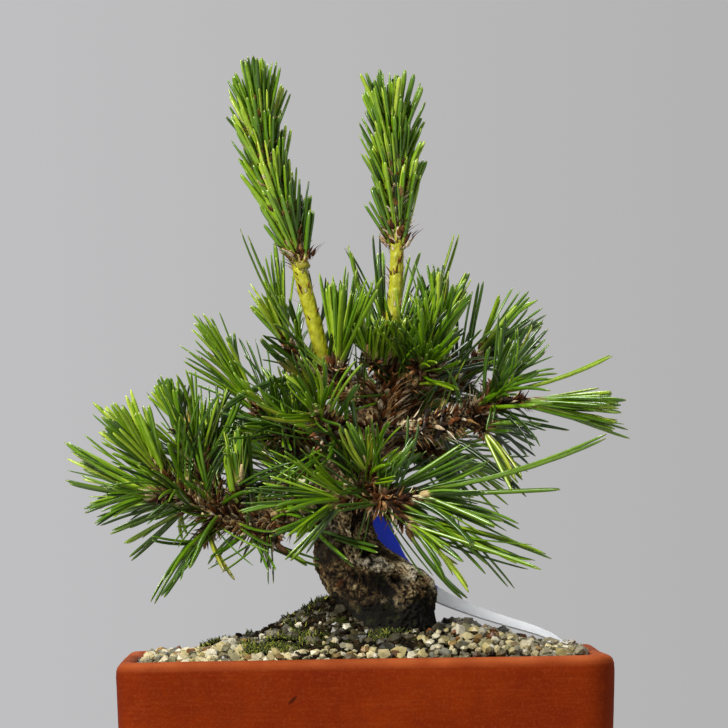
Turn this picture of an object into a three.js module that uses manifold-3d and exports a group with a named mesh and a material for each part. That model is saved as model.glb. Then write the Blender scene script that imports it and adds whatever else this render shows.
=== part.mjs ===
// A shohin Japanese black pine in a rectangular unglazed clay pot.
// Millimetres, +Z up. The origin is on the table under the middle of the whole, and the front faces -Y.
import * as THREE from 'three';
import { mergeVertices } from 'three/addons/utils/BufferGeometryUtils.js';
import Module from 'manifold-3d';

const wasm = await Module();
wasm.setup();

// ---- Driving dimensions ----

const GAP = 0.3; // clearance between pieces that touch

const POT = {
  width: 143.5, depth: 110, // outside, at the rim
  height: 55, foot: 5, // the feet are part of the height
  wall: 6, floor: 6, corner: 10,
  draft: 0.035, // how far the sides lean in, per millimetre down
  lip: 2.4, // height of the softened edge under the rim
};
const FOOT = { length: 26, width: 18, inset: 5 };
const DRAIN = { x: 32, radius: 8 };
const MESH = { bars: 4, pitch: 5.5, bar: 1.2, thick: 0.8 };
const CLIP = { wire: 1.2, legX: 5.5, reach: 14 };

// The dark mound of soil round the trunk's foot, an ellipse seen from above.
const MOUND = { x: -3, y: 0, halfX: 31, halfY: 22, edge: 60, peak: 13, peakX: -7 };
const SOIL_TOP = 50; // under the gravel
const GRAVEL = { atMound: 61.5, atWall: 54.5 };
const MOSS = { x: -25, y: -28, base: 55.6, halfX: 8.5, halfY: 5.5, thick: 2.6 };

const NEEDLE_RADIUS = 0.72; // at a needle's foot
const LOWEST_TIP = 66; // needles stay above the gravel
const GOLDEN_ANGLE = Math.PI * (3 - Math.sqrt(5));

// Horizontal sections of the trunk, upwards: height, centre x and y, half width and half depth.
const TRUNK = [
  [57.3, 5.0, 0, 18.5, 16.0],
  [60.0, 5.5, 0, 17.0, 15.0],
  [65.0, 6.2, 0, 15.6, 13.8],
  [71.0, 6.6, 0, 15.3, 13.4],
  [75.5, 4.4, 0, 15.4, 13.4],
  [79.0, 1.5, 0, 14.2, 12.8],
  [82.5, -1.4, 0, 12.3, 11.8],
  [85.5, -3.7, 0, 10.5, 11.0],
  [90.0, -5.6, 0, 9.4, 10.0],
  [96.0, -6.5, 0, 9.3, 9.4],
  [102.0, -5.5, 0.3, 9.0, 9.0],
  [108.0, -3.0, 0.5, 8.6, 8.6],
  [114.0, 0.5, 0.5, 8.1, 8.1],
  [120.0, 4.0, 0.5, 7.5, 7.5],
  [126.0, 6.5, 0, 6.8, 6.8],
  [131.0, 7.5, 0, 6.0, 6.0],
  [134.5, 7.8, 0, 4.5, 4.5],
  [136.0, 7.8, 0, 2.5, 2.5],
];

// Roots in the soil: the middle of each root's path from the crown outwards, and its radius at each point.
const ROOTS = [
  { points: [[5, 0, 57], [5, 0, 50], [4, 0, 42], [4, 0, 36]], radii: [14, 12, 8, 4] },
  { points: [[5, 0, 48], [-16, 4, 42], [-36, 9, 32], [-52, 14, 24]], radii: [6, 4.5, 3, 1.4] },
  { points: [[5, 0, 48], [24, 6, 42], [40, 14, 31], [52, 20, 22]], radii: [6, 4.5, 3, 1.4] },
  { points: [[5, 0, 48], [12, -16, 42], [24, -30, 32], [38, -38, 24]], radii: [5.5, 4, 2.6, 1.3] },
  { points: [[5, 0, 48], [-8, -16, 42], [-20, -29, 33], [-34, -37, 25]], radii: [5.5, 4, 2.6, 1.3] },
  { points: [[5, 0, 48], [0, 16, 42], [-8, 30, 32], [-18, 39, 24]], radii: [5, 3.8, 2.4, 1.2] },
];

// Branches: what each grows from, its path from inside the parent to its tip, and its radius at each point.
const BRANCHES = {
  branch_left: {
    on: 'trunk',
    points: [[-6, 0, 99], [-17, -3, 96.5], [-28, -5, 94], [-38, -6, 94.5], [-47, -6, 98.5], [-54, -5, 104]],
    radii: [4.8, 4.4, 4.0, 3.4, 2.8, 2.1],
  },
  twig_left_riser: {
    on: 'branch_left',
    points: [[-41, -6, 96], [-45, -1, 103.5], [-49, 3, 111], [-51, 4, 116.5]],
    radii: [2.5, 2.3, 2.0, 1.7],
  },
  branch_left_high: {
    on: 'trunk',
    points: [[-2, 0, 109], [-12, 4, 114], [-19, 6, 118], [-25, 6, 122]],
    radii: [3.8, 3.3, 2.8, 2.2],
  },
  branch_left_crown: {
    on: 'trunk',
    points: [[6, 0, 128], [-1, 0, 131], [-8, 1, 134.5], [-13, 3, 138], [-17, 4, 141.5]],
    radii: [4.0, 3.7, 3.4, 2.8, 2.2],
  },
  branch_right_crown: {
    on: 'trunk',
    points: [[7.5, 0, 129], [13, 0, 133.5], [18, -1, 137.5], [21, -1, 141]],
    radii: [3.8, 3.5, 3.0, 2.4],
  },
  branch_right: {
    on: 'trunk',
    points: [[5, 0, 121], [15, -3, 121.5], [25, -4, 122.5], [33, -4, 125], [39, -4, 128]],
    radii: [4.2, 3.9, 3.4, 2.9, 2.2],
  },
  branch_right_back: {
    on: 'trunk',
    points: [[6, 0, 124], [14, 10, 128], [23, 17, 132.5], [31, 20, 136]],
    radii: [3.8, 3.3, 2.8, 2.1],
  },
  branch_front_low: {
    on: 'trunk',
    points: [[-3, 0, 107], [0.5, -12, 104.5], [4, -20, 101.5], [7, -25, 99]],
    radii: [3.8, 3.3, 2.8, 2.1],
  },
  branch_front: {
    on: 'trunk',
    points: [[-2, 0, 114], [-5, -10, 117.5], [-8, -16, 120], [-10, -20, 121.5]],
    radii: [3.2, 2.8, 2.4, 1.9],
  },
  branch_back_left: {
    on: 'trunk',
    points: [[-5, 0, 103], [-12, 12, 105.5], [-18, 24, 108], [-22, 34, 110]],
    radii: [3.8, 3.3, 2.8, 2.0],
  },
  branch_back_right: {
    on: 'trunk',
    points: [[2, 0, 116], [10, 13, 117], [17, 25, 117], [23, 35, 118]],
    radii: [3.8, 3.3, 2.8, 2.0],
  },
};

// Tall candles: a bare stem, then the needle-bearing part that carries on from it.
const CANDLES = {
  candle_left: {
    on: 'branch_left_crown',
    stem: [[-9, 1.2, 135], [-12.5, 0.5, 151], [-16, 0, 164], [-19, 0.5, 177]],
    stemRadii: [2.8, 2.7, 2.6, 2.4],
    spike: [[-19, 0.5, 177.3], [-23, 1, 191], [-27, 1.5, 205], [-30, 2, 217]],
    spikeRadii: [2.4, 2.1, 1.8, 1.3],
    aim: [-0.14, 0.02, 0.98],
    needles: 20, length: 23, spread: [8, 27],
  },
  candle_right: {
    on: 'trunk',
    stem: [[7, -0.5, 132.5], [9.2, -1, 146], [11.3, -1.2, 162], [11.9, -1, 179]],
    stemRadii: [2.7, 2.6, 2.5, 2.3],
    spike: [[11.9, -1, 179.3], [11.7, -1, 191], [10.7, -1, 202.5], [9, -1, 212.5]],
    spikeRadii: [2.3, 2.0, 1.7, 1.2],
    aim: [0, 0, 1],
    needles: 18, length: 22, spread: [8, 27],
  },
};

// Shoots: what each grows from, its stub from inside the parent to its end, the way its needles point,
// their length, how far they spread from that way in degrees, how many, and the tips of any odd long ones.
const SHOOTS = {
  shoot_left_tip: ['branch_left', [-52, -5.5, 103], [-59.5, -6, 108.5], [-0.58, -0.1, 0.82], 28, [4, 26], 9],
  shoot_left_low: ['branch_left', [-50, -5.5, 101.5], [-58, -8, 101.5], [-1, -0.15, 0.25], 28, [4, 32], 8,
    [[-87, -10, 106.5]]],
  shoot_left_back: ['branch_left', [-46, -6, 98], [-50, 3, 99], [-0.6, 0.8, 0.1], 30, [8, 45], 8],
  shoot_left_riser: ['twig_left_riser', [-51, 4, 116.5], [-52.5, 4, 120.5], [-0.28, 0, 1], 17, [5, 28], 8],
  shoot_left_riser_side: ['twig_left_riser', [-47, 1.5, 108], [-42, 5, 112],
    [0.35, 0.3, 0.9], 25, [8, 45], 7],
  shoot_left_upright: ['branch_left', [-35, -6, 94.5], [-36.5, -13, 100], [0.02, -0.02, 1], 21, [3, 15], 7],
  shoot_left_under: ['branch_left', [-41, -6, 95.5], [-45, -9, 90], [-0.65, -0.3, -0.6], 23, [8, 40], 7,
    [[-62, -16, 70]]],
  shoot_left_inner: ['branch_left', [-29, -5, 94.5], [-27, -11, 91], [0.4, -0.4, -0.6], 16, [10, 50], 7,
    [[-27, -19, 76]]],
  shoot_centre_left: ['branch_left_high', [-24, 6, 121], [-28.5, 5, 126], [-0.65, 0, 0.76], 31, [4, 20], 8,
    [[-52, 6, 148]]],
  shoot_centre_front: ['branch_left_high', [-17, 5.5, 117], [-21, -4, 119],
    [-0.6, -0.5, 0.45], 30, [10, 55], 8],
  shoot_crown_left: ['branch_left_crown', [-16, 4, 140], [-20.5, 3.5, 144], [-0.36, -0.1, 1], 21, [4, 26], 8],
  shoot_candle_base: ['branch_left_crown', [-4, 0.5, 132.5], [-7, -8, 136],
    [0, -0.3, 0.95], 34, [6, 34], 8,
    [[-33.5, -6, 180.5]]],
  shoot_crown_centre: ['trunk', [5.5, -3, 131.5], [2.5, -9, 139.5], [-0.1, -0.15, 1], 20, [8, 42], 8],
  shoot_crown_back: ['trunk', [8, 3, 130.5], [11, 8.5, 141], [-0.02, 0.2, 1], 37, [9, 34], 8,
    [[-3, 7, 176], [30, 8, 179]]],
  shoot_crown_right: ['branch_right_crown', [20.5, -1, 139.5], [23, -2, 146], [0.2, 0, 1], 24, [4, 24], 9],
  shoot_crown_front: ['branch_right_crown', [14.5, 0, 134.5], [18, -8, 138],
    [0.45, -0.6, 0.55], 28, [10, 55], 8],
  shoot_right_tip: ['branch_right', [38, -4, 127.5], [45, -5, 129.5], [1, -0.05, -0.1], 36, [4, 16], 9,
    [[82.5, -5, 126.5]]],
  shoot_right_upper: ['branch_right_back', [30, 19.5, 135.5], [34, 20.5, 141],
    [0.74, 0, 0.67], 29, [4, 26], 8],
  shoot_right_outer: ['branch_right', [33, -4, 125], [39, 4, 132], [0.78, 0.15, 0.62], 28, [4, 24], 8,
    [[75, 4, 142]]],
  shoot_right_under: ['branch_right', [29, -4, 123.5], [35, -10, 120.5],
    [0.85, -0.25, -0.35], 27, [8, 40], 8],
  shoot_front_up: ['branch_front_low', [3.6, -19.2, 101.8], [1.5, -26, 106.5],
    [0, -0.3, 0.9], 21, [10, 62], 8],
  shoot_front_right: ['branch_front_low', [6, -24, 99.6], [13, -27, 101.5],
    [0.95, -0.2, -0.06], 37, [5, 22], 8,
    [[73, -26, 116.5], [58, -30, 102]]],
  shoot_front_low: ['branch_front_low', [5, -22.5, 100.4], [8.5, -27, 94], [0.8, -0.2, -0.58], 31, [4, 20], 8,
    [[55.5, -28, 82.5]]],
  shoot_front_left: ['branch_front_low', [1.8, -16, 102.8], [-5, -23.5, 99.5],
    [-0.9, -0.35, -0.05], 35, [8, 42], 8],
  shoot_front_centre: ['branch_front', [-9, -18, 120.8], [-12, -24, 124],
    [-0.4, -0.6, 0.6], 27, [8, 60], 8],
  shoot_back_left_tip: ['branch_back_left', [-21, 32, 109.6], [-25, 38, 112],
    [-0.5, 0.75, 0.4], 21, [6, 45], 8],
  shoot_back_left_up: ['branch_back_left', [-17, 22, 107.6], [-19, 23, 115],
    [-0.3, 0.2, 0.9], 30, [8, 50], 8],
  shoot_back_left_side: ['branch_back_left', [-14, 16, 106.3], [-22, 18, 104],
    [-0.8, 0.4, 0], 30, [8, 50], 7],
  shoot_back_right_tip: ['branch_back_right', [22, 33, 117.8], [25, 39, 120.5],
    [0.5, 0.75, 0.4], 21, [6, 45], 8],
  shoot_back_right_up: ['branch_back_right', [15, 21, 117], [15, 22, 125],
    [0.1, 0.3, 0.93], 30, [8, 50], 8],
  shoot_back_right_side: ['branch_back_right', [13, 18, 117], [21, 19, 114],
    [0.85, 0.2, -0.2], 31, [8, 50], 7],
  shoot_back_centre: ['trunk', [0, 2, 112], [-1.5, 16, 116], [-0.1, 0.9, 0.4], 31, [8, 55], 8],
};
const STUB_RADII = [1.9, 1.8, 1.2];

// The training wire: once past the trunk's front, then round the right branch.
const WIRE = { diameter: 1.2, trunkZ: 117.5, fromX: 14, toX: 26, turns: 2, perTurn: 10 };

// The plant label: the middle line from its buried tip to its head, with the tilt of its width in degrees.
const LABEL = {
  width: 7.2, thick: 0.7,
  points: [
    [61.5, 16, 53, 8], [59.5, 16, 56.9, 9], [52, 16.5, 60.2, 12], [43, 17, 63, 15], [34, 17.5, 66.2, 18],
    [25, 18.5, 70.2, 26], [17.4, 19, 76, 38], [11.3, 19.2, 82.6, 46], [7.6, 19.2, 88.4, 50],
    [4.9, 19.2, 94, 52], [2.6, 19.2, 99, 54],
  ],
};

// ---- Geometry helpers ----

const point = ([x, y, z]) => new THREE.Vector3(x, y, z);
const degrees = (angle) => THREE.MathUtils.degToRad(angle);

/** A repeatable stream of numbers between 0 and 1. */
function numbers(seed) {
  let state = seed;
  return () => {
    state = (state * 16807) % 2147483647;
    return state / 2147483647;
  };
}

/** A closed mesh through rings of equal count, each anticlockwise about the way the rings run. */
function loft(rings) {
  const count = rings[0].length;
  const middle = (ring) => ring.reduce((sum, p) => sum.add(p), new THREE.Vector3()).divideScalar(count);
  const points = [...rings.flat(), middle(rings[0]), middle(rings.at(-1))];
  const first = points.length - 2;
  const last = points.length - 1;
  const top = (rings.length - 1) * count;
  const faces = [];
  for (let j = 0; j < count; j += 1) {
    const next = (j + 1) % count;
    for (let base = 0; base < top; base += count) {
      faces.push(base + j, base + next, base + count + next);
      faces.push(base + j, base + count + next, base + count + j);
    }
    faces.push(first, next, j, last, top + j, top + next);
  }
  return new THREE.BufferGeometry().setFromPoints(points).setIndex(faces);
}

/** A three.js geometry as a manifold-3d solid. */
function solid(geometry) {
  const bare = geometry.clone();
  bare.deleteAttribute('normal');
  bare.deleteAttribute('uv');
  const merged = mergeVertices(bare, 1e-4);
  return new wasm.Manifold(new wasm.Mesh({
    numProp: 3,
    vertProperties: merged.attributes.position.array,
    triVerts: new Uint32Array(merged.index.array),
  }));
}

/** A manifold-3d solid as a three.js geometry. */
function geometryOf(body) {
  const mesh = body.getMesh();
  const geometry = new THREE.BufferGeometry();
  geometry.setAttribute('position', new THREE.BufferAttribute(mesh.vertProperties, 3));
  geometry.setIndex(new THREE.BufferAttribute(mesh.triVerts, 1));
  return geometry;
}

/** A box from its lowest corner to its highest. */
function box(low, high) {
  const size = point(high).sub(point(low));
  return new THREE.BoxGeometry(size.x, size.y, size.z)
    .translate(low[0] + size.x / 2, low[1] + size.y / 2, low[2] + size.z / 2);
}

/** A rounded rectangle at height z. */
function roundedRectangle(halfX, halfY, corner, z, perCorner = 4) {
  const ring = [];
  for (let quarter = 0; quarter < 4; quarter += 1) {
    const middleX = (quarter === 0 || quarter === 3 ? 1 : -1) * (halfX - corner);
    const middleY = (quarter < 2 ? 1 : -1) * (halfY - corner);
    for (let i = 0; i <= perCorner; i += 1) {
      const angle = (quarter + i / perCorner) * Math.PI / 2;
      ring.push(new THREE.Vector3(
        middleX + corner * Math.cos(angle), middleY + corner * Math.sin(angle), z));
    }
  }
  return ring;
}

/** The place and radius at share t of a path through points, with the radii spaced evenly along it. */
function alongPath(points, radii, t) {
  const curve = new THREE.CatmullRomCurve3(points.map(point));
  const at = Math.min(t * (radii.length - 1), radii.length - 1 - 1e-9);
  const index = Math.floor(at);
  return {
    place: curve.getPoint(t),
    tangent: curve.getTangent(t),
    radius: THREE.MathUtils.lerp(radii[index], radii[index + 1], at - index),
  };
}

/** A tapering round limb along a smooth path with a domed tip, made thicker and longer by grow. */
function limb({ points, radii }, { sides = 8, steps = 5, grow = 0 } = {}) {
  const rings = [];
  let across = null;
  const addRing = (place, tangent, radius) => {
    across ??= new THREE.Vector3(0.31, 0.9, 0.3).cross(tangent);
    across.addScaledVector(tangent, -across.dot(tangent)).normalize();
    const other = new THREE.Vector3().crossVectors(tangent, across);
    rings.push(Array.from({ length: sides }, (_, j) => {
      const angle = 2 * Math.PI * j / sides;
      return place.clone()
        .addScaledVector(across, radius * Math.cos(angle))
        .addScaledVector(other, radius * Math.sin(angle));
    }));
  };
  for (let i = 0; i <= steps; i += 1) {
    const { place, tangent, radius } = alongPath(points, radii, i / steps);
    if (i === 0) place.addScaledVector(tangent, -grow);
    addRing(place, tangent, radius + grow);
  }
  const { place, tangent, radius } = alongPath(points, radii, 1);
  addRing(place.addScaledVector(tangent, 0.45 * radius + grow), tangent, 0.55 * radius + grow);
  return loft(rings);
}

/** A bent wire: a round section carried along a smooth path. */
function wire(points, diameter, steps, sides = 6) {
  const section = new THREE.Shape();
  for (let j = 0; j <= sides; j += 1) {
    const angle = 2 * Math.PI * (j % sides) / sides;
    const [x, y] = [diameter / 2 * Math.cos(angle), diameter / 2 * Math.sin(angle)];
    if (j === 0) section.moveTo(x, y);
    else section.lineTo(x, y);
  }
  const extrudePath = new THREE.CatmullRomCurve3(points.map(point));
  return new THREE.ExtrudeGeometry(section, { steps, bevelEnabled: false, extrudePath, curveSegments: 1 });
}

/** A straight needle: a three-sided spike from root to tip. */
function needle(root, tip) {
  const way = tip.clone().sub(root);
  const length = way.length();
  const turn = new THREE.Quaternion().setFromUnitVectors(new THREE.Vector3(0, 1, 0), way.normalize());
  return new THREE.ConeGeometry(NEEDLE_RADIUS, length, 3, 1)
    .translate(0, length / 2, 0)
    .applyQuaternion(turn)
    .translate(root.x, root.y, root.z);
}

/** The least distance between the stretches from a0 to a1 and from b0 to b1. */
function stretchDistance(a0, a1, b0, b1) {
  const u = a1.clone().sub(a0);
  const v = b1.clone().sub(b0);
  const w = a0.clone().sub(b0);
  const [uu, uv, vv, uw, vw] = [u.dot(u), u.dot(v), v.dot(v), u.dot(w), v.dot(w)];
  const bend = uu * vv - uv * uv;
  const clamp = (value) => THREE.MathUtils.clamp(value, 0, 1);
  let s = bend > 1e-9 ? clamp((uv * vw - vv * uw) / bend) : 0;
  const t = clamp((uv * s + vw) / vv);
  s = clamp((uv * t - uw) / uu);
  return a0.clone().addScaledVector(u, s).distanceTo(b0.clone().addScaledVector(v, t));
}

// ---- Room for the needles ----

const taken = []; // stretches that hold something: { from, to, radius, owner }

function takePath(owner, points, radii, steps = 6) {
  for (let i = 0; i < steps; i += 1) {
    const start = alongPath(points, radii, i / steps);
    const end = alongPath(points, radii, (i + 1) / steps);
    taken.push({ from: start.place, to: end.place, radius: Math.max(start.radius, end.radius), owner });
  }
}

/** True if a needle keeps clear of everything that belongs to another piece. */
function isClear(root, tip, owner) {
  const start = root.clone().lerp(tip, 0.08);
  return taken.every((item) => item.owner === owner
    || stretchDistance(start, tip, item.from, item.to) > item.radius + NEEDLE_RADIUS + GAP);
}

/**
 * Needles of one shoot. Candidates go round the aim by the golden angle, the widest from the stub's foot
 * and the closest from its end, and each is kept if it is clear of everything else.
 */
function needlesOf(owner, path, radii, { aim, length, spread, count, foot = 0.45, odd = [] }, seed) {
  const random = numbers(seed);
  const axis = point(aim).normalize();
  const side = new THREE.Vector3(0.2, 1, 0.1).cross(axis).normalize();
  const kept = [];
  const keep = (root, tip) => {
    kept.push(needle(root, tip));
    taken.push({ from: root, to: tip, radius: NEEDLE_RADIUS, owner });
  };
  odd.forEach((tip) => keep(alongPath(path, radii, 0.8).place, point(tip)));
  const tries = count * 5;
  for (let i = 0; i < tries && kept.length < count + odd.length; i += 1) {
    const share = ((i * 0.618) % 1 + 0.04) / 1.04;
    const lean = degrees(THREE.MathUtils.lerp(spread[0], spread[1], Math.sqrt(share)));
    const way = axis.clone()
      .applyAxisAngle(side, lean)
      .applyAxisAngle(axis, i * GOLDEN_ANGLE + seed);
    const root = alongPath(path, radii, THREE.MathUtils.lerp(0.96, foot, share)).place;
    const tip = root.clone().addScaledVector(way, length * (0.84 + 0.16 * random()));
    if (tip.z > LOWEST_TIP && isClear(root, tip, owner)) keep(root, tip);
  }
  return kept;
}

// ---- Pot and what it holds ----

/** The pot's outline shrunk by inset, at height z. */
function potRing(inset, z) {
  const lean = inset + POT.draft * (POT.height - z);
  const corner = Math.max(POT.corner - inset, 4);
  return roundedRectangle(POT.width / 2 - lean, POT.depth / 2 - lean, corner, z);
}

function pot() {
  const floorTop = POT.foot + POT.floor;
  const body = solid(loft([
    potRing(3, POT.foot), potRing(0.6, POT.foot + 1.2), potRing(0, POT.foot + 4),
    potRing(0, POT.height - POT.lip), potRing(0.5, POT.height - 0.9), potRing(1.5, POT.height),
    potRing(POT.wall - 1, POT.height), potRing(POT.wall, POT.height - 1.2),
    potRing(POT.wall, floorTop + 4), potRing(POT.wall + 4, floorTop),
  ]));
  const feet = [-1, 1].flatMap((sideX) => [-1, 1].map((sideY) => {
    const x = sideX * (POT.width / 2 - FOOT.inset - FOOT.length / 2);
    const y = sideY * (POT.depth / 2 - FOOT.inset - FOOT.width / 2);
    const ring = (grow, z) => roundedRectangle(FOOT.length / 2 + grow, FOOT.width / 2 + grow, 4, z, 3)
      .map((p) => p.add(new THREE.Vector3(x, y, 0)));
    return solid(loft([ring(-1.2, 0), ring(-0.4, 0.8), ring(0, POT.foot + 1)]));
  }));
  const holes = [-1, 1].map((side) => solid(
    new THREE.CylinderGeometry(DRAIN.radius, DRAIN.radius, 3 * POT.floor, 16)
      .rotateX(Math.PI / 2)
      .translate(side * DRAIN.x, 0, POT.foot)));
  const withFeet = feet.reduce((whole, foot) => whole.add(foot), body);
  return geometryOf(holes.reduce((whole, hole) => whole.subtract(hole), withFeet));
}

const floorTop = POT.foot + POT.floor;
const meshTop = floorTop + GAP + MESH.thick;

function drainMesh(x) {
  const half = (MESH.bars - 1) / 2 * MESH.pitch + MESH.bar / 2;
  const bars = [];
  for (let i = 0; i < MESH.bars; i += 1) {
    const at = (i - (MESH.bars - 1) / 2) * MESH.pitch;
    const [low, high] = [at - MESH.bar / 2, at + MESH.bar / 2];
    bars.push(box([x + low, -half, floorTop + GAP], [x + high, half, meshTop]));
    bars.push(box([x - half, low, floorTop + GAP], [x + half, high, meshTop]));
  }
  return geometryOf(bars.map(solid).reduce((whole, bar) => whole.add(bar)));
}

/** A wire staple: over the mesh, down through the hole and out under the pot. */
function meshClip(x) {
  const top = meshTop + GAP + CLIP.wire / 2;
  const under = POT.foot - GAP - CLIP.wire / 2;
  const half = [[0, top], [CLIP.legX - 1, top], [CLIP.legX, top - 1.2], [CLIP.legX, 9],
    [CLIP.legX, under + 1.2], [CLIP.legX + 1.2, under], [CLIP.reach, under]];
  const points = [
    ...half.slice(1).reverse().map(([dx, z]) => [x - dx, 0, z]),
    ...half.map(([dx, z]) => [x + dx, 0, z]),
  ];
  return wire(points, CLIP.wire, 26, 5);
}

/** Height of the mound of soil at x, y. */
function moundHeight(x, y) {
  const out = Math.hypot((x - MOUND.peakX) / (MOUND.halfX - 4), (y - MOUND.y) / (MOUND.halfY - 1));
  return MOUND.edge + MOUND.peak * Math.max(0, 1 - out);
}

// Angles round the soil and the gravel. In each quarter they close up towards the pot's corner.
const cornerAngle = Math.atan2(POT.depth / 2 - POT.wall, POT.width / 2 - POT.wall);
const firstQuarter = [
  ...[0, 0.3, 0.6, 0.82, 0.94, 1].map((share) => share * cornerAngle),
  ...[0.05, 0.2, 0.5].map((share) => THREE.MathUtils.lerp(cornerAngle, Math.PI / 2, share)),
];
const ANGLES = [0, 1].flatMap((half) => [
  ...firstQuarter.map((angle) => half * Math.PI + angle),
  Math.PI * (half + 0.5),
  ...firstQuarter.slice(1).reverse().map((angle) => (half + 1) * Math.PI - angle),
]);

/** The point at angle index j that is share s of the way from the mound's edge to the pot's inner wall. */
function groundPoint(s, j, z, inset) {
  const [cos, sin] = [Math.cos(ANGLES[j]), Math.sin(ANGLES[j])];
  const lean = POT.wall + inset + POT.draft * (POT.height - z);
  const [halfX, halfY] = [POT.width / 2 - lean, POT.depth / 2 - lean];
  // A superellipse of power 16 is a rectangle with round corners.
  const reach = ((Math.abs(cos) / halfX) ** 16 + (Math.abs(sin) / halfY) ** 16) ** (-1 / 16);
  return new THREE.Vector3(
    THREE.MathUtils.lerp(MOUND.x + MOUND.halfX * cos, reach * cos, s),
    THREE.MathUtils.lerp(MOUND.y + MOUND.halfY * sin, reach * sin, s), z);
}

const groundRing = (s, z, inset) => ANGLES.map((_, j) => groundPoint(s, j, z, inset));

function moundRing(scale) {
  return ANGLES.map((angle) => {
    const x = MOUND.x + scale * MOUND.halfX * Math.cos(angle);
    const y = MOUND.y + scale * MOUND.halfY * Math.sin(angle);
    return new THREE.Vector3(x, y, moundHeight(x, y));
  });
}

/** Everything of the tree that stands in the ground, made thicker by GAP, to cut room for it. */
function buriedTree() {
  return ROOTS.map((root) => solid(limb(root, { sides: 6, steps: 3, grow: GAP })))
    .reduce((whole, root) => whole.add(root), solid(trunkColumn(GAP)));
}

function soil() {
  const bottom = floorTop + GAP;
  const body = solid(loft([
    groundRing(0.8, bottom, GAP), groundRing(1, bottom + 4, GAP), groundRing(1, SOIL_TOP, GAP),
    groundRing(0, SOIL_TOP, GAP), moundRing(0.985), moundRing(0.75), moundRing(0.5), moundRing(0.25),
  ]));
  const pockets = [-1, 1].flatMap((side) => {
    const x = side * DRAIN.x;
    const half = (MESH.bars - 1) / 2 * MESH.pitch + MESH.bar / 2 + GAP;
    const clipHalf = CLIP.wire / 2 + GAP;
    return [
      box([x - half, -half, bottom - 1], [x + half, half, meshTop + GAP]),
      box([x - CLIP.legX - 2, -clipHalf, bottom - 1], [x + CLIP.legX + 2, clipHalf, meshTop + 2.2]),
    ].map(solid);
  });
  return geometryOf(pockets.reduce((whole, pocket) => whole.subtract(pocket), body.subtract(buriedTree())));
}

/** Height of the gravel at share s from the mound to the wall: it falls steeply first, then gently. */
const gravelHeight = (s) => THREE.MathUtils.lerp(GRAVEL.atMound, GRAVEL.atWall, Math.sin(s * Math.PI / 2));

function gravel() {
  const shares = [0.02, 0.2, 0.4, 0.6, 0.8, 1];
  const bottom = SOIL_TOP + GAP;
  const profile = [
    ...shares.map((s) => groundRing(s, gravelHeight(s), GAP)),
    groundRing(1, bottom, GAP),
    groundRing(0.02, bottom, GAP),
  ];
  const faces = [];
  profile.forEach((_, i) => {
    const base = i * ANGLES.length;
    const next = ((i + 1) % profile.length) * ANGLES.length;
    for (let j = 0; j < ANGLES.length; j += 1) {
      const k = (j + 1) % ANGLES.length;
      faces.push(base + j, next + j, next + k, base + j, next + k, base + k);
    }
  });
  const ring = new THREE.BufferGeometry().setFromPoints(profile.flat()).setIndex(faces);
  return geometryOf(solid(ring).subtract(solid(labelStrip(GAP))).subtract(solid(mossPad(GAP))));
}

/** The moss: a low cushion bedded in the gravel in front of the mound. */
function mossPad(grow) {
  const ring = (scale, z) => Array.from({ length: 16 }, (_, j) => {
    const angle = 2 * Math.PI * j / 16;
    const ripple = 1 + 0.12 * Math.sin(3 * angle) + 0.07 * Math.sin(5 * angle + 1);
    return new THREE.Vector3(
      MOSS.x + (MOSS.halfX * scale * ripple + grow) * Math.cos(angle),
      MOSS.y + (MOSS.halfY * scale * ripple + grow) * Math.sin(angle), z);
  });
  const low = MOSS.base;
  return loft([
    ring(0.9, low - grow), ring(1, low + 0.8), ring(0.9, low + MOSS.thick),
    ring(0.55, low + MOSS.thick + 1.2 + grow),
  ]);
}

const moss = () => geometryOf(solid(mossPad(0)).subtract(soilMoundCutter()));

/** The mound made a little bigger, to shape what lies on it. */
function soilMoundCutter() {
  const lift = (ring) => ring.map((p) => p.add(new THREE.Vector3(0, 0, GAP)));
  const skirt = groundRing(0, SOIL_TOP, GAP);
  return solid(loft([skirt, ...[1, 0.75, 0.5, 0.25].map((scale) => lift(moundRing(scale)))]));
}

// ---- Tree ----

/** The trunk: level elliptical rings, made thicker and longer by grow. */
function trunkColumn(grow = 0) {
  const last = TRUNK.length - 1;
  return loft(TRUNK.map(([z, x, y, halfX, halfY], i) => {
    const height = z + (i === 0 ? -grow : 0) + (i === last ? grow : 0);
    return Array.from({ length: 14 }, (_, j) => {
      const angle = 2 * Math.PI * j / 14;
      return new THREE.Vector3(
        x + (halfX + grow) * Math.cos(angle), y + (halfY + grow) * Math.sin(angle), height);
    });
  }));
}

function roots() {
  return geometryOf(ROOTS.map((root) => solid(limb(root, { sides: 6, steps: 3 })))
    .reduce((whole, root) => whole.add(root))
    .subtract(solid(trunkColumn(GAP))));
}

const parentRoom = (name) => solid(name === 'trunk'
  ? trunkColumn(GAP)
  : limb(BRANCHES[name], { grow: GAP }));

/** What is left of a body outside its parent, without the splinters that a cut can leave. */
function grownFrom(on, body) {
  const pieces = body.subtract(parentRoom(on)).decompose();
  return pieces.reduce((largest, piece) => (piece.volume() > largest.volume() ? piece : largest));
}

const branch = ({ on, points, radii }) => geometryOf(grownFrom(on, solid(limb({ points, radii }))));

/** A woody core and its needles as one body. */
const bunch = (core, needles) => needles.map(solid).reduce((whole, one) => whole.add(one), solid(core));

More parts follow.
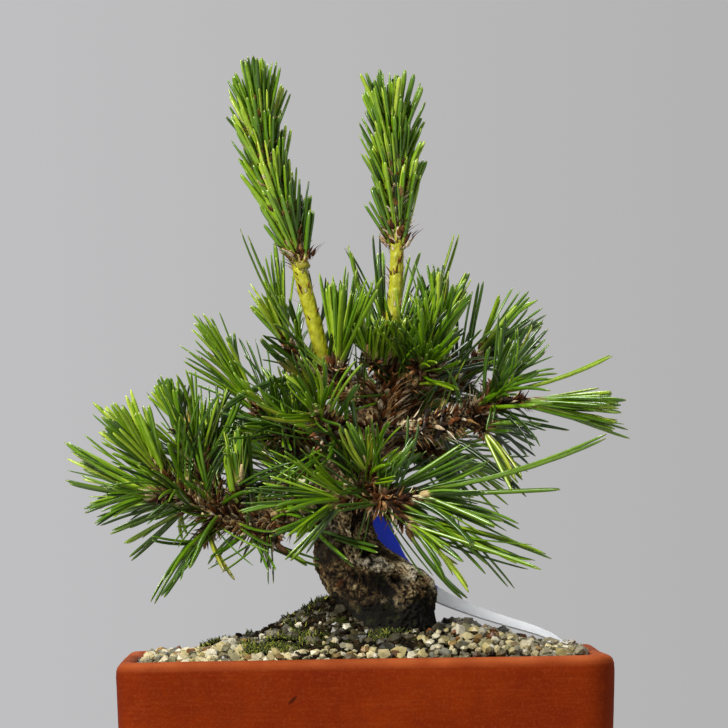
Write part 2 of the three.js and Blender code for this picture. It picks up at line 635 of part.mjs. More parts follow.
function trainingWire() {
  const [height, centreX, centreY, halfX] = TRUNK[12];
  const trunkReach = halfX + GAP + WIRE.diameter / 2 + 0.3;
  const { points, radii } = BRANCHES.branch_right;
  const start = [-95, -80, -65].map((angle, i) => [
    centreX + 2 + trunkReach * Math.cos(degrees(angle)),
    centreY + trunkReach * Math.sin(degrees(angle)),
    height + 3.2 + 0.7 * i]);
  const turns = Array.from({ length: WIRE.turns * WIRE.perTurn + 1 }, (_, i) => {
    const share = i / (WIRE.turns * WIRE.perTurn);
    const x = THREE.MathUtils.lerp(WIRE.fromX, WIRE.toX, share);
    const along = (x - points[0][0]) / (points.at(-1)[0] - points[0][0]);
    const { place, radius } = alongPath(points, radii, along);
    const reach = radius + 2 * GAP + WIRE.diameter / 2;
    const angle = degrees(-150) - 2 * Math.PI * share * WIRE.turns;
    return [place.x, place.y + reach * Math.cos(angle), place.z + reach * Math.sin(angle)];
  });
  return wire([...start, ...turns], WIRE.diameter, 40, 5);
}

/** The label as a strip of four-cornered sections along its middle line. */
function labelStrip(grow = 0) {
  const curve = new THREE.CatmullRomCurve3(LABEL.points.map(point));
  return loft(LABEL.points.map((entry, i) => {
    const share = i / (LABEL.points.length - 1);
    const tangent = curve.getTangent(share);
    const upright = new THREE.Vector3(0, 1, 0).cross(tangent).normalize();
    const tilt = degrees(entry[3]);
    const wide = new THREE.Vector3(0, Math.cos(tilt), 0).addScaledVector(upright, Math.sin(tilt));
    const flat = new THREE.Vector3().crossVectors(tangent, wide).normalize();
    const tip = i === 0 ? 0.35 : 1; // the buried end is narrowed to push into the soil
    const halfWide = LABEL.width / 2 * tip + grow;
    const halfThick = LABEL.thick / 2 + grow;
    return [[1, 1], [-1, 1], [-1, -1], [1, -1]].map(([a, b]) => point(entry)
      .addScaledVector(wide, a * halfWide)
      .addScaledVector(flat, b * halfThick));
  }));
}

// ---- Assembly ----

const FINISH = {
  clay: { color: 0x80350f, roughness: 0.75 },
  net: { color: 0x1d1f1e, roughness: 0.6 },
  steel: { color: 0x8a8c8c, roughness: 0.35, metalness: 1 },
  earth: { color: 0x2b241b, roughness: 0.95 },
  stone: { color: 0xb7ab95, roughness: 0.85 },
  moss: { color: 0x4d5a1c, roughness: 0.95 },
  bark: { color: 0x493d2b, roughness: 0.9 },
  root: { color: 0x5a4128, roughness: 0.9 },
  greenStem: { color: 0x8f8f14, roughness: 0.55 },
  needle: { color: 0x3f6b1e, roughness: 0.45 },
  wire: { color: 0x3a3430, roughness: 0.5, metalness: 0.6 },
  label: { color: 0xe6e8ea, roughness: 0.4 },
};

// The branches reach further left than right, so the pot stands a little right of the box's middle.
const POT_RIGHT_OF_MIDDLE = 1.5;

const bonsai = new THREE.Group();
bonsai.position.x = POT_RIGHT_OF_MIDDLE;

function add(name, geometry, finish) {
  const mesh = new THREE.Mesh(geometry, new THREE.MeshStandardMaterial(FINISH[finish]));
  mesh.name = name;
  bonsai.add(mesh);
}

add('pot', pot(), 'clay');
[['left', -DRAIN.x], ['right', DRAIN.x]].forEach(([side, x]) => {
  add(`drain_mesh_${side}`, drainMesh(x), 'net');
  add(`mesh_clip_${side}`, meshClip(x), 'steel');
});
add('soil', soil(), 'earth');
add('gravel', gravel(), 'stone');
add('moss', moss(), 'moss');
add('roots', roots(), 'root');
add('trunk', trunkColumn(), 'bark');
add('training_wire', trainingWire(), 'wire');
add('plant_label', labelStrip(), 'label');

const trunkLine = TRUNK.map(([z, x, y]) => [x, y, z]);
const trunkRadii = TRUNK.map(([, , , halfX, halfY]) => Math.max(halfX, halfY));
takePath('trunk', trunkLine, trunkRadii, TRUNK.length - 1);
takePath('plant_label', LABEL.points, LABEL.points.map(() => LABEL.width / 2));
takePath('training_wire', BRANCHES.branch_right.points.slice(0, 3), [6, 5.6, 5.2]);

Object.entries(BRANCHES).forEach(([name, shape]) => {
  add(name, branch(shape), 'bark');
  takePath(name, shape.points, shape.radii);
});

Object.entries(CANDLES).forEach(([name, candle]) => {
  const shape = { points: candle.stem, radii: candle.stemRadii };
  const upTo = { points: candle.spike, radii: candle.spikeRadii };
  const whole = grownFrom(candle.on, solid(limb(shape, { sides: 8 })));
  add(`${name}_stem`, geometryOf(whole.subtract(solid(limb(upTo, { grow: GAP })))), 'greenStem');
  takePath(`${name}_stem`, shape.points, shape.radii);
  takePath(`${name}_needles`, upTo.points, upTo.radii);
});

const shoots = Object.entries(SHOOTS).map(([name, row]) => {
  const [on, from, to, aim, length, spread, count, odd = []] = row;
  const middle = from.map((value, i) => (value + to[i]) / 2);
  const path = [from, middle, to];
  takePath(name, path, STUB_RADII, 2);
  return { name, on, path, needles: { aim, length, spread, count, odd } };
});

shoots.forEach(({ name, on, path, needles }, i) => {
  const stub = limb({ points: path, radii: STUB_RADII }, { sides: 6, steps: 2 });
  const body = bunch(stub, needlesOf(name, path, STUB_RADII, needles, i + 11));
  add(name, geometryOf(grownFrom(on, body)), 'needle');
});

Object.entries(CANDLES).forEach(([name, candle], i) => {
  const { spike, spikeRadii, aim, length, spread, needles: count } = candle;
  const wanted = { aim, length, spread, count, foot: 0.05 };
  const owner = `${name}_needles`;
  const core = limb({ points: spike, radii: spikeRadii }, { sides: 7, steps: 4 });
  add(owner, geometryOf(bunch(core, needlesOf(owner, spike, spikeRadii, wanted, i + 71))), 'needle');
});

export default bonsai;
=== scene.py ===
"""A small Japanese black pine in an unglazed clay bonsai pot.

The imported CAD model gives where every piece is: the trunk, branches and stems are cut across to find their
middle lines, and the spikes of each CAD shoot give the lie of its needles. Everything that shows is then
worked out with numpy around those. Metres, +Z up, the front faces -Y.
"""
import math
from functools import partial

import bpy
import numpy as np
from mathutils import Matrix, Vector
from mathutils.bvhtree import BVHTree


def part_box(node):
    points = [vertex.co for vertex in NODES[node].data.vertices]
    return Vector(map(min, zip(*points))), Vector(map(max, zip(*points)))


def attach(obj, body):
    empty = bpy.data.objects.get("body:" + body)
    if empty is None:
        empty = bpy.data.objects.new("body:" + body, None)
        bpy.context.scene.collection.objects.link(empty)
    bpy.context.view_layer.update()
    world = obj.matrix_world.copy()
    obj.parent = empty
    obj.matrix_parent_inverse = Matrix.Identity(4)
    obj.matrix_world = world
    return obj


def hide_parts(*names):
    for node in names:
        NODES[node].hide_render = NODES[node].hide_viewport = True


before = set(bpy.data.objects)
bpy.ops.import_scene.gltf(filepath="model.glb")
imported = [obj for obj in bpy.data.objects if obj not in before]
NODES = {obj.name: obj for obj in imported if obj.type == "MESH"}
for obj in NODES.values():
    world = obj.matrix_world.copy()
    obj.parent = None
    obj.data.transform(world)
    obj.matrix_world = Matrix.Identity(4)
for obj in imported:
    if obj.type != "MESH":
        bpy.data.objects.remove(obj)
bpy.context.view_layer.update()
MM = 0.001
ROOT = "root"


# ---------------------------------------------------------------- small maths

def unit(v):
    """Vectors divided by their own lengths."""
    return v / np.maximum(np.linalg.norm(v, axis=-1, keepdims=True), 1e-12)


def smooth(x, low=0.0, high=1.0):
    """0 below low, 1 above high, and 3t^2 - 2t^3 between."""
    t = np.clip((x - low) / (high - low), 0, 1)
    return t * t * (3 - 2 * t)


def lattice(cell, seed):
    """A repeatable number between 0 and 1 for each whole-number cell (..., 3): an integer hash."""
    c = cell.astype(np.int64).astype(np.uint32)
    h = c[..., 0] * np.uint32(374761393) + c[..., 1] * np.uint32(668265263)
    h = h + c[..., 2] * np.uint32(2147483647) + np.uint32(seed) * np.uint32(3266489917)
    h = (h ^ (h >> np.uint32(13))) * np.uint32(1274126177)
    h = (h ^ (h >> np.uint32(16))) * np.uint32(2246822519)
    return (h ^ (h >> np.uint32(15))).astype(np.float64) / 4294967295.0


def noise(p, size, seed):
    """Value noise from -1 to 1: hashed corners of a lattice of this size, blended smoothly."""
    q = p / size
    low = np.floor(q)
    f = q - low
    f = f * f * (3 - 2 * f)
    total = 0.0
    for corner in np.ndindex(2, 2, 2):
        c = np.array(corner)
        weight = np.prod(np.where(c == 1, f, 1 - f), axis=-1)
        total = total + weight * lattice(low + c, seed)
    return 2 * total - 1


def layered(p, size, seed, layers=4):
    """Noise at halving sizes and halving heights, from -1 to 1."""
    heights = 0.5 ** np.arange(layers)
    total = sum(h * noise(p, size * h, seed + 17 * i) for i, h in enumerate(heights))
    return total / heights.sum()


def plates(p, size, seed):
    """Distance to the nearest border between cells round scattered seeds, and each cell's own number.

    In each lattice cell sits one seed point; the border distance is half of the second nearest seed's
    distance less the nearest's."""
    q = p / size
    low = np.floor(q)
    near = np.full(q.shape[:-1], 9.0)
    second = near.copy()
    owner = near.copy()
    for corner in np.ndindex(3, 3, 3):
        cell = low + np.array(corner) - 1
        spot = cell + np.stack([lattice(cell, seed + k) for k in range(3)], -1)
        d = np.linalg.norm(q - spot, axis=-1)
        closer = d < near
        second = np.where(closer, near, np.minimum(second, d))
        owner = np.where(closer, lattice(cell, seed + 9), owner)
        near = np.where(closer, d, near)
    return (second - near) / 2, owner


def along(line, share):
    """Points at shares 0 to 1 of a polyline (n, k), by linear steps between its evenly shared points."""
    places = np.linspace(0, 1, len(line))
    return np.stack([np.interp(share, places, column) for column in line.T], -1)


def softened(values, times):
    """A row of values averaged with its neighbours, ends held, this many times."""
    for _ in range(times):
        padded = np.concatenate([values[:1], values, values[-1:]])
        values = (padded[:-2] + 2 * padded[1:-1] + padded[2:]) / 4
    return values


# ---------------------------------------------------------------- reading the CAD frame

def cad_mesh(name):
    """A CAD node's vertices with doubles merged, and its edges as pairs of vertex numbers."""
    me = NODES[name].data
    co = np.empty(len(me.vertices) * 3, np.float32)
    me.vertices.foreach_get("co", co)
    edges = np.empty(len(me.edges) * 2, np.int32)
    me.edges.foreach_get("vertices", edges)
    points, number = np.unique(np.round(co.reshape(-1, 3), 6), axis=0, return_inverse=True)
    edges = np.sort(number.reshape(-1)[edges].reshape(-1, 2), axis=1)
    edges = np.unique(edges[edges[:, 0] != edges[:, 1]], axis=0)
    return points.astype(np.float64), edges


def cut(mesh, axis, place):
    """The points where a CAD node's edges cross a plane square to an axis."""
    points, edges = mesh
    a, b = points[edges[:, 0]], points[edges[:, 1]]
    da, db = a[:, axis] - place, b[:, axis] - place
    crossing = da * db < 0
    t = (da / np.where(crossing, da - db, 1))[crossing, None]
    return a[crossing] + t * (b[crossing] - a[crossing])


def midline(name, axis, count=24, trim=0.04):
    """A limb's middle line and radius: the middle and the area of cuts at even steps along an axis."""
    mesh = cad_mesh(name)
    low, high = mesh[0][:, axis].min(), mesh[0][:, axis].max()
    span = high - low
    others = [k for k in range(3) if k != axis]
    middles, areas = [], []
    for place in np.linspace(low + trim * span, high - trim * span, count):
        ring = cut(mesh, axis, place)
        centre = (ring.max(0) + ring.min(0)) / 2
        spoke = (ring - centre)[:, others]
        order = np.argsort(np.arctan2(spoke[:, 1], spoke[:, 0]))
        x, y = spoke[order].T
        middles.append(centre)
        areas.append(abs(np.sum(x * np.roll(y, -1) - y * np.roll(x, -1))) / 2)
    line = softened(np.array(middles), 2)
    lean = np.abs(unit(np.gradient(line, axis=0))[:, axis])
    return line, softened(np.sqrt(np.array(areas) * lean / np.pi), 3)


def spikes(name):
    """The foot and tip of each straight needle of a CAD node.

    A tip is a vertex whose edges all leave within a few degrees of one way; the foot is the middle of
    their other ends."""
    points, edges = cad_mesh(name)
    both = np.concatenate([edges, edges[:, ::-1]])
    way = unit(points[both[:, 1]] - points[both[:, 0]])
    count = np.bincount(both[:, 0], minlength=len(points))
    mean = np.stack([np.bincount(both[:, 0], way[:, k], len(points)) for k in range(3)], -1)
    straight = np.linalg.norm(mean, axis=1) / np.maximum(count, 1)
    foot = np.stack(
        [np.bincount(both[:, 0], points[both[:, 1], k], len(points)) for k in range(3)], -1)
    foot = foot / np.maximum(count, 1)[:, None]
    reach = np.linalg.norm(points - foot, axis=1)
    tip = (straight > 0.9985) & (reach > 8 * MM)
    return foot[tip], points[tip]


# ---------------------------------------------------------------- making meshes

def tube_faces(count, rings, sides):
    """Quads along and triangles over the ends of many tubes whose rings are stored one after another.

    Each tube holds rings * sides vertices and then its two end points."""
    size = rings * sides + 2
    i, j = np.meshgrid(np.arange(rings - 1), np.arange(sides), indexing="ij")
    k = (j + 1) % sides
    quads = np.stack([i * sides + j, i * sides + k, (i + 1) * sides + k, (i + 1) * sides + j], -1)
    j, k = np.arange(sides), (np.arange(sides) + 1) % sides
    top = (rings - 1) * sides
    start = np.stack([np.full(sides, size - 2), k, j], -1)
    end = np.stack([np.full(sides, size - 1), top + j, top + k], -1)
    shift = (np.arange(count) * size)[:, None, None]
    return (quads.reshape(1, -1, 4) + shift).reshape(-1, 4), (
        np.concatenate([start, end])[None] + shift).reshape(-1, 3)


def build(name, points, quads, triangles, material, values=None, uv=None, smooth_shade=True):
    """A mesh object from whole arrays. values holds one number (or colour) a vertex for each name."""
    me = bpy.data.meshes.new(name)
    me.vertices.add(len(points))
    me.vertices.foreach_set("co", np.ascontiguousarray(points, np.float32).ravel())
    corners = np.concatenate([quads.ravel(), triangles.ravel()]).astype(np.int32)
    sizes = np.concatenate([np.full(len(quads), 4), np.full(len(triangles), 3)])
    me.loops.add(len(corners))
    me.loops.foreach_set("vertex_index", corners)
    me.polygons.add(len(sizes))
    me.polygons.foreach_set("loop_start", (np.cumsum(sizes) - sizes).astype(np.int32))
    me.polygons.foreach_set("use_smooth", np.full(len(sizes), smooth_shade))
    me.update(calc_edges=True)
    for key, value in (values or {}).items():
        me.attributes.new(key, "FLOAT", "POINT").data.foreach_set(
            "value", np.ascontiguousarray(value, np.float32).ravel())
    if uv is not None:
        me.uv_layers.new(name="OFBake").uv.foreach_set(
            "vector", np.ascontiguousarray(uv, np.float32).ravel())
    me.materials.append(material)
    ob = bpy.data.objects.new(name, me)
    bpy.context.scene.collection.objects.link(ob)
    return ob


def tubes(name, lines, half, outline, material, facing, values=None):
    """Carries one closed outline along many middle lines at once.

    lines is (n, s, 3), half the outline's half width and half height at each point (n, s, 2), outline
    (p, 2) runs anticlockwise at unit size, and facing (n, 3) is the way its height points. A vertex is
    line + across * half width * x + over * half height * y. Each tube gets its own strip of the map."""
    count, rings, sides = lines.shape[0], lines.shape[1], len(outline)
    tangent = unit(np.gradient(lines, axis=1))
    across = unit(np.cross(facing[:, None], tangent))
    over = np.cross(tangent, across)
    x = half[..., 0, None] * outline[:, 0]
    y = half[..., 1, None] * outline[:, 1]
    ring = lines[:, :, None] + x[..., None] * across[:, :, None] + y[..., None] * over[:, :, None]
    ends = np.stack([lines[:, 0], lines[:, -1]], 1)
    points = np.concatenate([ring.reshape(count, -1, 3), ends], 1).reshape(-1, 3)
    quads, triangles = tube_faces(count, rings, sides)
    spread = {key: per_vertex(value, count, rings, sides) for key, value in (values or {}).items()}
    return build(name, points, quads, triangles, material, spread, strips(count, rings, sides))


def per_vertex(value, count, rings, sides):
    """A number for each tube (n,), or for each ring of each tube (n, s), given to their vertices."""
    value = np.broadcast_to(np.asarray(value).reshape(count, -1), (count, rings))
    return np.concatenate([np.repeat(value, sides, axis=1), value[:, :1], value[:, -1:]], 1).ravel()


def strips(count, rings, sides):
    """A flat map with one cell a tube, in rows of cells: across the cell goes round it, up goes along."""
    columns = int(math.ceil(math.sqrt(count * 4)))
    rows = int(math.ceil(count / columns))
    i, j = np.meshgrid(np.arange(rings - 1), np.arange(sides), indexing="ij")
    u = np.stack([j, j + 1, j + 1, j], -1) / sides
    v = 0.03 + 0.94 * np.stack([i, i, i + 1, i + 1], -1) / (rings - 1)
    quad = np.stack([u, v], -1).reshape(-1, 2)
    side = np.arange(sides)
    middle = np.full(sides, 0.5)
    start = np.stack([middle, side + 1, side], -1) / [1, sides, sides]
    end = np.stack([middle, side, side + 1], -1) / [1, sides, sides]
    flat = np.broadcast_to([0.0, 0.03, 0.03], (sides, 3))
    caps = np.concatenate([np.stack([start, flat], -1), np.stack([end, 1 - flat], -1)]).reshape(-1, 2)
    number = np.arange(count)
    corner = np.stack([number % columns, number // columns], -1)[:, None]
    place = lambda cell: (corner + 0.06 + 0.88 * cell[None]) / [columns, rows]
    return np.concatenate([place(quad).reshape(-1, 2), place(caps).reshape(-1, 2)])


def skin(name, line, radius, material, facing, values=None):
    """One tube whose radius is its own at every ring and angle: line (s, 3), radius (s, p).

    A vertex is line + radius * (cos * across + sin * over)."""
    rings, sides = radius.shape
    points = skin_points(line, radius, facing)
    points = np.concatenate([points.reshape(-1, 3), line[:1], line[-1:]])
    quads, triangles = tube_faces(1, rings, sides)
    spread = {key: np.concatenate([value.ravel(), [value[0].mean(), value[-1].mean()]])
              for key, value in (values or {}).items()}
    return build(name, points, quads, triangles, material, spread, strips(1, rings, sides))


def skin_points(line, radius, facing):
    """The vertices of such a tube, as a grid (s, p, 3)."""
    angle = 2 * np.pi * np.arange(radius.shape[1]) / radius.shape[1]
    tangent = unit(np.gradient(line, axis=0))
    across = unit(np.cross(np.asarray(facing, float), tangent))
    over = np.cross(tangent, across)
    spoke = np.cos(angle)[None, :, None] * across[:, None] + np.sin(angle)[None, :, None] * over[:, None]
    return line[:, None] + radius[..., None] * spoke


def joined(name, parts):
    """One object from several, with their materials kept."""
    bpy.ops.object.select_all(action="DESELECT")
    for part in parts:
        part.select_set(True)
    bpy.context.view_layer.objects.active = parts[0]
    bpy.ops.object.join()
    parts[0].name = name
    parts[0].data.name = name
    return parts[0]


def piece(ob, slot, *nodes):
    """Puts a finished piece on the body and hides the CAD nodes it stands for. The slot is not used."""
    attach(ob, ROOT)
    if nodes:
        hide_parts(*nodes)
    return ob


def circle(sides):
    """Points evenly round a circle of radius one, anticlockwise."""
    angle = 2 * np.pi * np.arange(sides) / sides
    return np.stack([np.cos(angle), np.sin(angle)], -1)


def loop_faces(rings, sides):
    """Quads of a grid that closes both ways, such as a profile carried round a frame."""
    i, j = np.meshgrid(np.arange(rings), np.arange(sides), indexing="ij")
    k, m = (j + 1) % sides, (i + 1) % rings
    return np.stack([i * sides + j, i * sides + k, m * sides + k, m * sides + j], -1).reshape(-1, 4)


def flatten(spots):
    """Places (..., 2) as (..., 3) with no height, to read noise at."""
    return np.concatenate([spots, np.zeros((*spots.shape[:-1], 1))], -1)


# ---------------------------------------------------------------- materials

def linear(code):
    """An sRGB hex colour as linear red, green, blue and alpha."""
    c = np.array([int(code[i:i + 2], 16) for i in (0, 2, 4)]) / 255
    c = np.where(c <= 0.04045, c / 12.92, ((c + 0.055) / 1.055) ** 2.4)
    return (*c, 1.0)


# What every node of a kind is given unless a call says otherwise.
HABITS = {"TexNoise": {"Detail": 3.0, "Roughness": 0.55}, "Mix": {"output": 2, "data_type": "RGBA"},
          "Attribute": {"output": "Fac"}}


def add(tree, kind, **given):
    """Adds a node and gives one of its outputs, the first unless output names another.

    Names in small letters are fields of the node, except stops, the (place, hex colour) pairs of a ramp.
    Others are sockets, with _ for a space, or s and a socket's number. A socket takes a value, a hex
    colour or the output of another node. A noise of scale 1 / size has blobs of about that size."""
    node = tree.nodes.new("ShaderNode" + kind)
    given = {**HABITS.get(kind, {}), **given}
    output = given.pop("output", 0)
    stops = given.pop("stops", ())
    band = node.color_ramp.elements if stops else ()
    while len(band) < len(stops):
        band.new(0.5)
    for element, (place, code) in zip(band, stops):
        element.position = place
        element.color = linear(code)
    for key, value in given.items():
        numbered = key[0] == "s" and key[1:].isdigit()
        if key.islower() and not numbered:
            setattr(node, key, value)
            continue
        socket = node.inputs[int(key[1:]) if numbered else key.replace("_", " ")]
        if isinstance(value, bpy.types.NodeSocket):
            tree.links.new(value, socket)
        else:
            socket.default_value = linear(value) if isinstance(value, str) else value
    return node.outputs[output]


def start_material(name, **values):
    """A new material, add for its own tree, and its Object coordinates. values are even shader inputs."""
    mat = bpy.data.materials.new(name)
    mat.use_nodes = True
    shader = mat.node_tree.nodes["Principled BSDF"]
    for key, value in values.items():
        shader.inputs[key.replace("_", " ")].default_value = value
    node = partial(add, mat.node_tree)
    return mat, node, node("TexCoord", output="Object")


def finish_material(mat, colour, normal=None):
    """Links a material's base colour, and its bump where it has one."""
    shader = mat.node_tree.nodes["Principled BSDF"]
    mat.node_tree.links.new(colour, shader.inputs["Base Color"])
    if normal is not None:
        mat.node_tree.links.new(normal, shader.inputs["Normal"])
    return mat


def fired_clay():
    """Unglazed red stoneware, fired hot: matt, slightly mottled, with a fine gritty grain and dark specks."""
    mat, node, where = start_material("fired_red_stoneware", Roughness=0.7, Specular_IOR_Level=0.05)
    broad = node("TexNoise", Vector=where, Scale=1 / (24 * MM))
    colour = node("ValToRGB", Fac=broad, stops=[(0.3, "621900"), (0.5, "6a1f00"), (0.72, "752601")])
    # Blotches left by the fire, 5 mm wide, then sandy grit.
    blotch = node("TexNoise", Vector=where, Scale=1 / (5 * MM), Detail=4)
    blotch = node("MapRange", Value=blotch, From_Min=0.45, From_Max=0.7, To_Max=0.35)
    colour = node("Mix", s0=blotch, s6=colour, s7="5b1804")
    sand = node("TexNoise", Vector=where, Scale=1 / (0.8 * MM), Detail=2)
    sand = node("MapRange", Value=sand, From_Min=0.5, From_Max=0.72, To_Max=0.22)
    colour = node("Mix", s0=sand, s6=colour, s7="93421b")
    # Faint level streaks where the wet clay was wiped, and a little lime scum along them.
    for flat, size, low, high, most, tone in ((0.12, 0.9, 0.42, 0.62, 0.14, "561400"),
                                              (0.06, 0.6, 0.52, 0.68, 0.1, "95471c")):
        lying = node("Mapping", Vector=where, Scale=(flat, flat, 1.0))
        streak = node("TexNoise", Vector=lying, Scale=1 / (size * MM))
        streak = node("MapRange", Value=streak, From_Min=low, From_Max=high, To_Max=most)
        colour = node("Mix", s0=streak, s6=colour, s7=tone)
    # A dark nick in the front: everything within a small leaning ellipsoid.
    nick = node("Mapping", vector_type="TEXTURE", Vector=where, Location=(-0.0195, -0.0535, 0.0433),
                Rotation=(0, -0.75, 0), Scale=(0.0016, 0.004, 0.0005))
    near = node("VectorMath", operation="LENGTH", s0=nick, output="Value")
    near = node("MapRange", Value=near, From_Min=0.7, From_Max=1.3, To_Min=0.8, To_Max=0.0)
    colour = node("Mix", s0=near, s6=colour, s7="2a0d02")
    speck = node("TexNoise", Vector=where, Scale=1 / (0.9 * MM), Detail=1)
    speck = node("MapRange", Value=speck, From_Min=0.7, From_Max=0.76, To_Max=0.35)
    colour = node("Mix", s0=speck, s6=colour, s7="35130a")
    # A lighter band round the top of the rim: partly rubbed wear, partly painted highlight along the lit rim
    # edge.
    rim_wear_and_highlight = node("MapRange", Value=node("Attribute", attribute_name="rim_wear_and_highlight"), To_Max=0.7)
    colour = node("Mix", s0=rim_wear_and_highlight, s6=colour, s7="a4562c")
    fine = node("TexNoise", Vector=where, Scale=1 / (0.7 * MM))
    coarse = node("TexNoise", Vector=where, Scale=1 / (3.5 * MM), Detail=2)
    height = node("Mix", s0=0.5, s6=fine, s7=coarse)
    return finish_material(mat, colour, node("Bump", Height=height, Distance=0.1 * MM, Strength=0.45))


def pine_bark():
    """Old pine bark: dark brown, black in the cracks; raised parts pale tan, partly weathered, partly painted
    highlight.
    """
    mat, node, where = start_material("old_pine_bark", Roughness=0.85, Specular_IOR_Level=0.2)
    plate_and_shade, tone, damp_and_shade = (node("Attribute", attribute_name=name) for name in ("plate_and_shade", "tone", "damp_and_shade"))
    fine, coarse = (node("TexNoise", Vector=where, Scale=1 / (size * MM), Detail=4, Roughness=0.7)
                    for size in (0.5, 1.7))
    fibre = node("Mix", s0=0.5, s6=fine, s7=coarse)
    face = node("ValToRGB", Fac=tone, stops=[(0.0, "1d150c"), (0.28, "413220"), (0.48, "6f5b3a"),
                                             (0.66, "a38c62"), (0.84, "d3c19b"), (1.0, "ece0c4")])
    lit = node("MapRange", Value=fibre, From_Min=0.45, From_Max=0.56, To_Max=0.92)
    face = node("Mix", s0=lit, s6=face, s7=node("Mix", s0=0.9, s6=face, s7="0d0803"))
    rust = node("TexNoise", Vector=where, Scale=1 / (4 * MM))
    rust = node("MapRange", Value=rust, From_Min=0.58, From_Max=0.7, To_Max=0.45)
    face = node("Mix", s0=rust, s6=face, s7="6b3a18")
    # The plate mask is 0 in the bark's cracks, and on the trunk also in the hollow under the torn ridge,
    # where it is painted shade.
    colour = node("Mix", s0=plate_and_shade, s6="080402", s7=face)
    green = node("TexNoise", Vector=where, Scale=1 / (2.4 * MM))
    green = node("MapRange", Value=green, From_Min=0.55, From_Max=0.66, To_Max=0.5)
    wet = node("Mix", s0=green, s6="0d0a06", s7="2c3010")
    colour = node("Mix", s0=damp_and_shade, s6=colour, s7=wet)
    return finish_material(mat, colour, node("Bump", Height=fibre, Distance=0.4 * MM, Strength=0.9))


def candle_skin():
    """Young candle stem: smooth yellow-green skin with a slight wax shine."""
    mat, node, where = start_material("young_green_stem", Roughness=0.45)
    mottle = node("TexNoise", Vector=where, Scale=1 / (2.5 * MM))
    colour = node("ValToRGB", Fac=mottle, stops=[(0.3, "7e7e0c"), (0.5, "9c9c12"), (0.7, "b3b32a")])
    colour = node("Mix", s0=node("Attribute", attribute_name="tone"), s6=colour, s7="6a5320")
    height = node("TexNoise", Vector=where, Scale=1 / (1 * MM))
    return finish_material(mat, colour, node("Bump", Height=height, Distance=0.15 * MM, Strength=0.5))


def needle_skin():
    """Pine needle: stiff and waxy, yellow-green when young and deep green later, paler where it leaves the
    sheath, with a light tip, or yellow and brown where it dries."""
    mat, node, where = start_material("waxy_pine_needle", Roughness=0.3, Specular_IOR_Level=0.6)
    tone, reach, dry = (node("Attribute", attribute_name=name) for name in ("tone", "reach", "dry"))
    colour = node("ValToRGB", Fac=tone, stops=[(0.0, "1a2f01"), (0.25, "335303"), (0.5, "507703"),
                                               (0.75, "76990d"), (1.0, "a6bb38")])
    streak = node("TexNoise", Vector=where, Scale=1 / (2.4 * MM), Detail=2)
    streak = node("MapRange", Value=streak, From_Min=0.42, From_Max=0.65, To_Max=0.4)
    colour = node("Mix", s0=streak, s6=colour, s7=node("Mix", s0=0.6, s6=colour, s7="1b3002"))
    base = node("MapRange", Value=reach, From_Max=0.2, To_Min=0.7, To_Max=0.0)
    colour = node("Mix", s0=base, s6=colour, s7="a3ab45")
    tip = node("MapRange", Value=reach, From_Min=0.96, To_Max=0.4)
    colour = node("Mix", s0=tip, s6=colour, s7="a5a54a")
    faded = node("ValToRGB", Fac=reach, stops=[(0.25, "8f9220"), (0.7, "a89428"), (0.95, "5d3a1c")])
    return finish_material(mat, node("Mix", s0=dry, s6=colour, s7=faded))


def paper_scale(name, stops):
    """Dry papery sheath or bud scale: thin, fibrous and matt."""
    mat, node, where = start_material(name, Roughness=0.65, Specular_IOR_Level=0.3)
    colour = node("ValToRGB", Fac=node("Attribute", attribute_name="tone"), stops=stops)
    vein = node("TexNoise", Vector=where, Scale=1 / (0.8 * MM))
    vein = node("MapRange", Value=vein, From_Min=0.45, From_Max=0.7, To_Max=0.6)
    return finish_material(mat, node("Mix", s0=vein, s6=colour, s7="22140a"))


def stone_chips():
    """River gravel: hard crystalline grains, most of them cream or pale yellow, with faint veins."""
    mat, node, where = start_material("river_gravel", Roughness=0.38, Specular_IOR_Level=0.45)
    colour = node("ValToRGB", Fac=node("Attribute", attribute_name="tone"), stops=[
        (0.0, "c9bd9c"), (0.16, "d5cdb6"), (0.30, "bfb082"), (0.43, "ae9f6c"), (0.55, "8e8867"),
        (0.64, "c8ba91"), (0.76, "8a6b3c"), (0.83, "6f3d1e"), (0.89, "77766c"), (0.94, "2e261c")])
    colour.node.color_ramp.interpolation = "CONSTANT"
    vein = node("TexNoise", Vector=where, Scale=1 / (1.6 * MM), Detail=4)
    vein = node("MapRange", Value=vein, From_Min=0.38, From_Max=0.66, To_Max=0.6)
    colour = node("Mix", s0=vein, s6=colour, s7=node("Mix", s0=0.6, s6=colour, s7="5d5630"))
    tint = node("TexNoise", Vector=where, Scale=1 / (14 * MM), Detail=2)
    tint = node("MapRange", Value=tint, From_Min=0.5, From_Max=0.65, To_Max=0.35)
    colour = node("Mix", s0=tint, s6=colour, s7=node("Mix", s0=0.5, s6=colour, s7="7d7a2c"))
    # Chips darken where they are damp, and on the lower layer as painted shade in the gaps.
    damp_and_shade = node("MapRange", Value=node("Attribute", attribute_name="damp_and_shade"), To_Max=0.92)
    colour = node("Mix", s0=damp_and_shade, s6=colour, s7="17140a")
    height = node("TexNoise", Vector=where, Scale=1 / (0.6 * MM))
    return finish_material(mat, colour, node("Bump", Height=height, Distance=0.12 * MM, Strength=0.6))


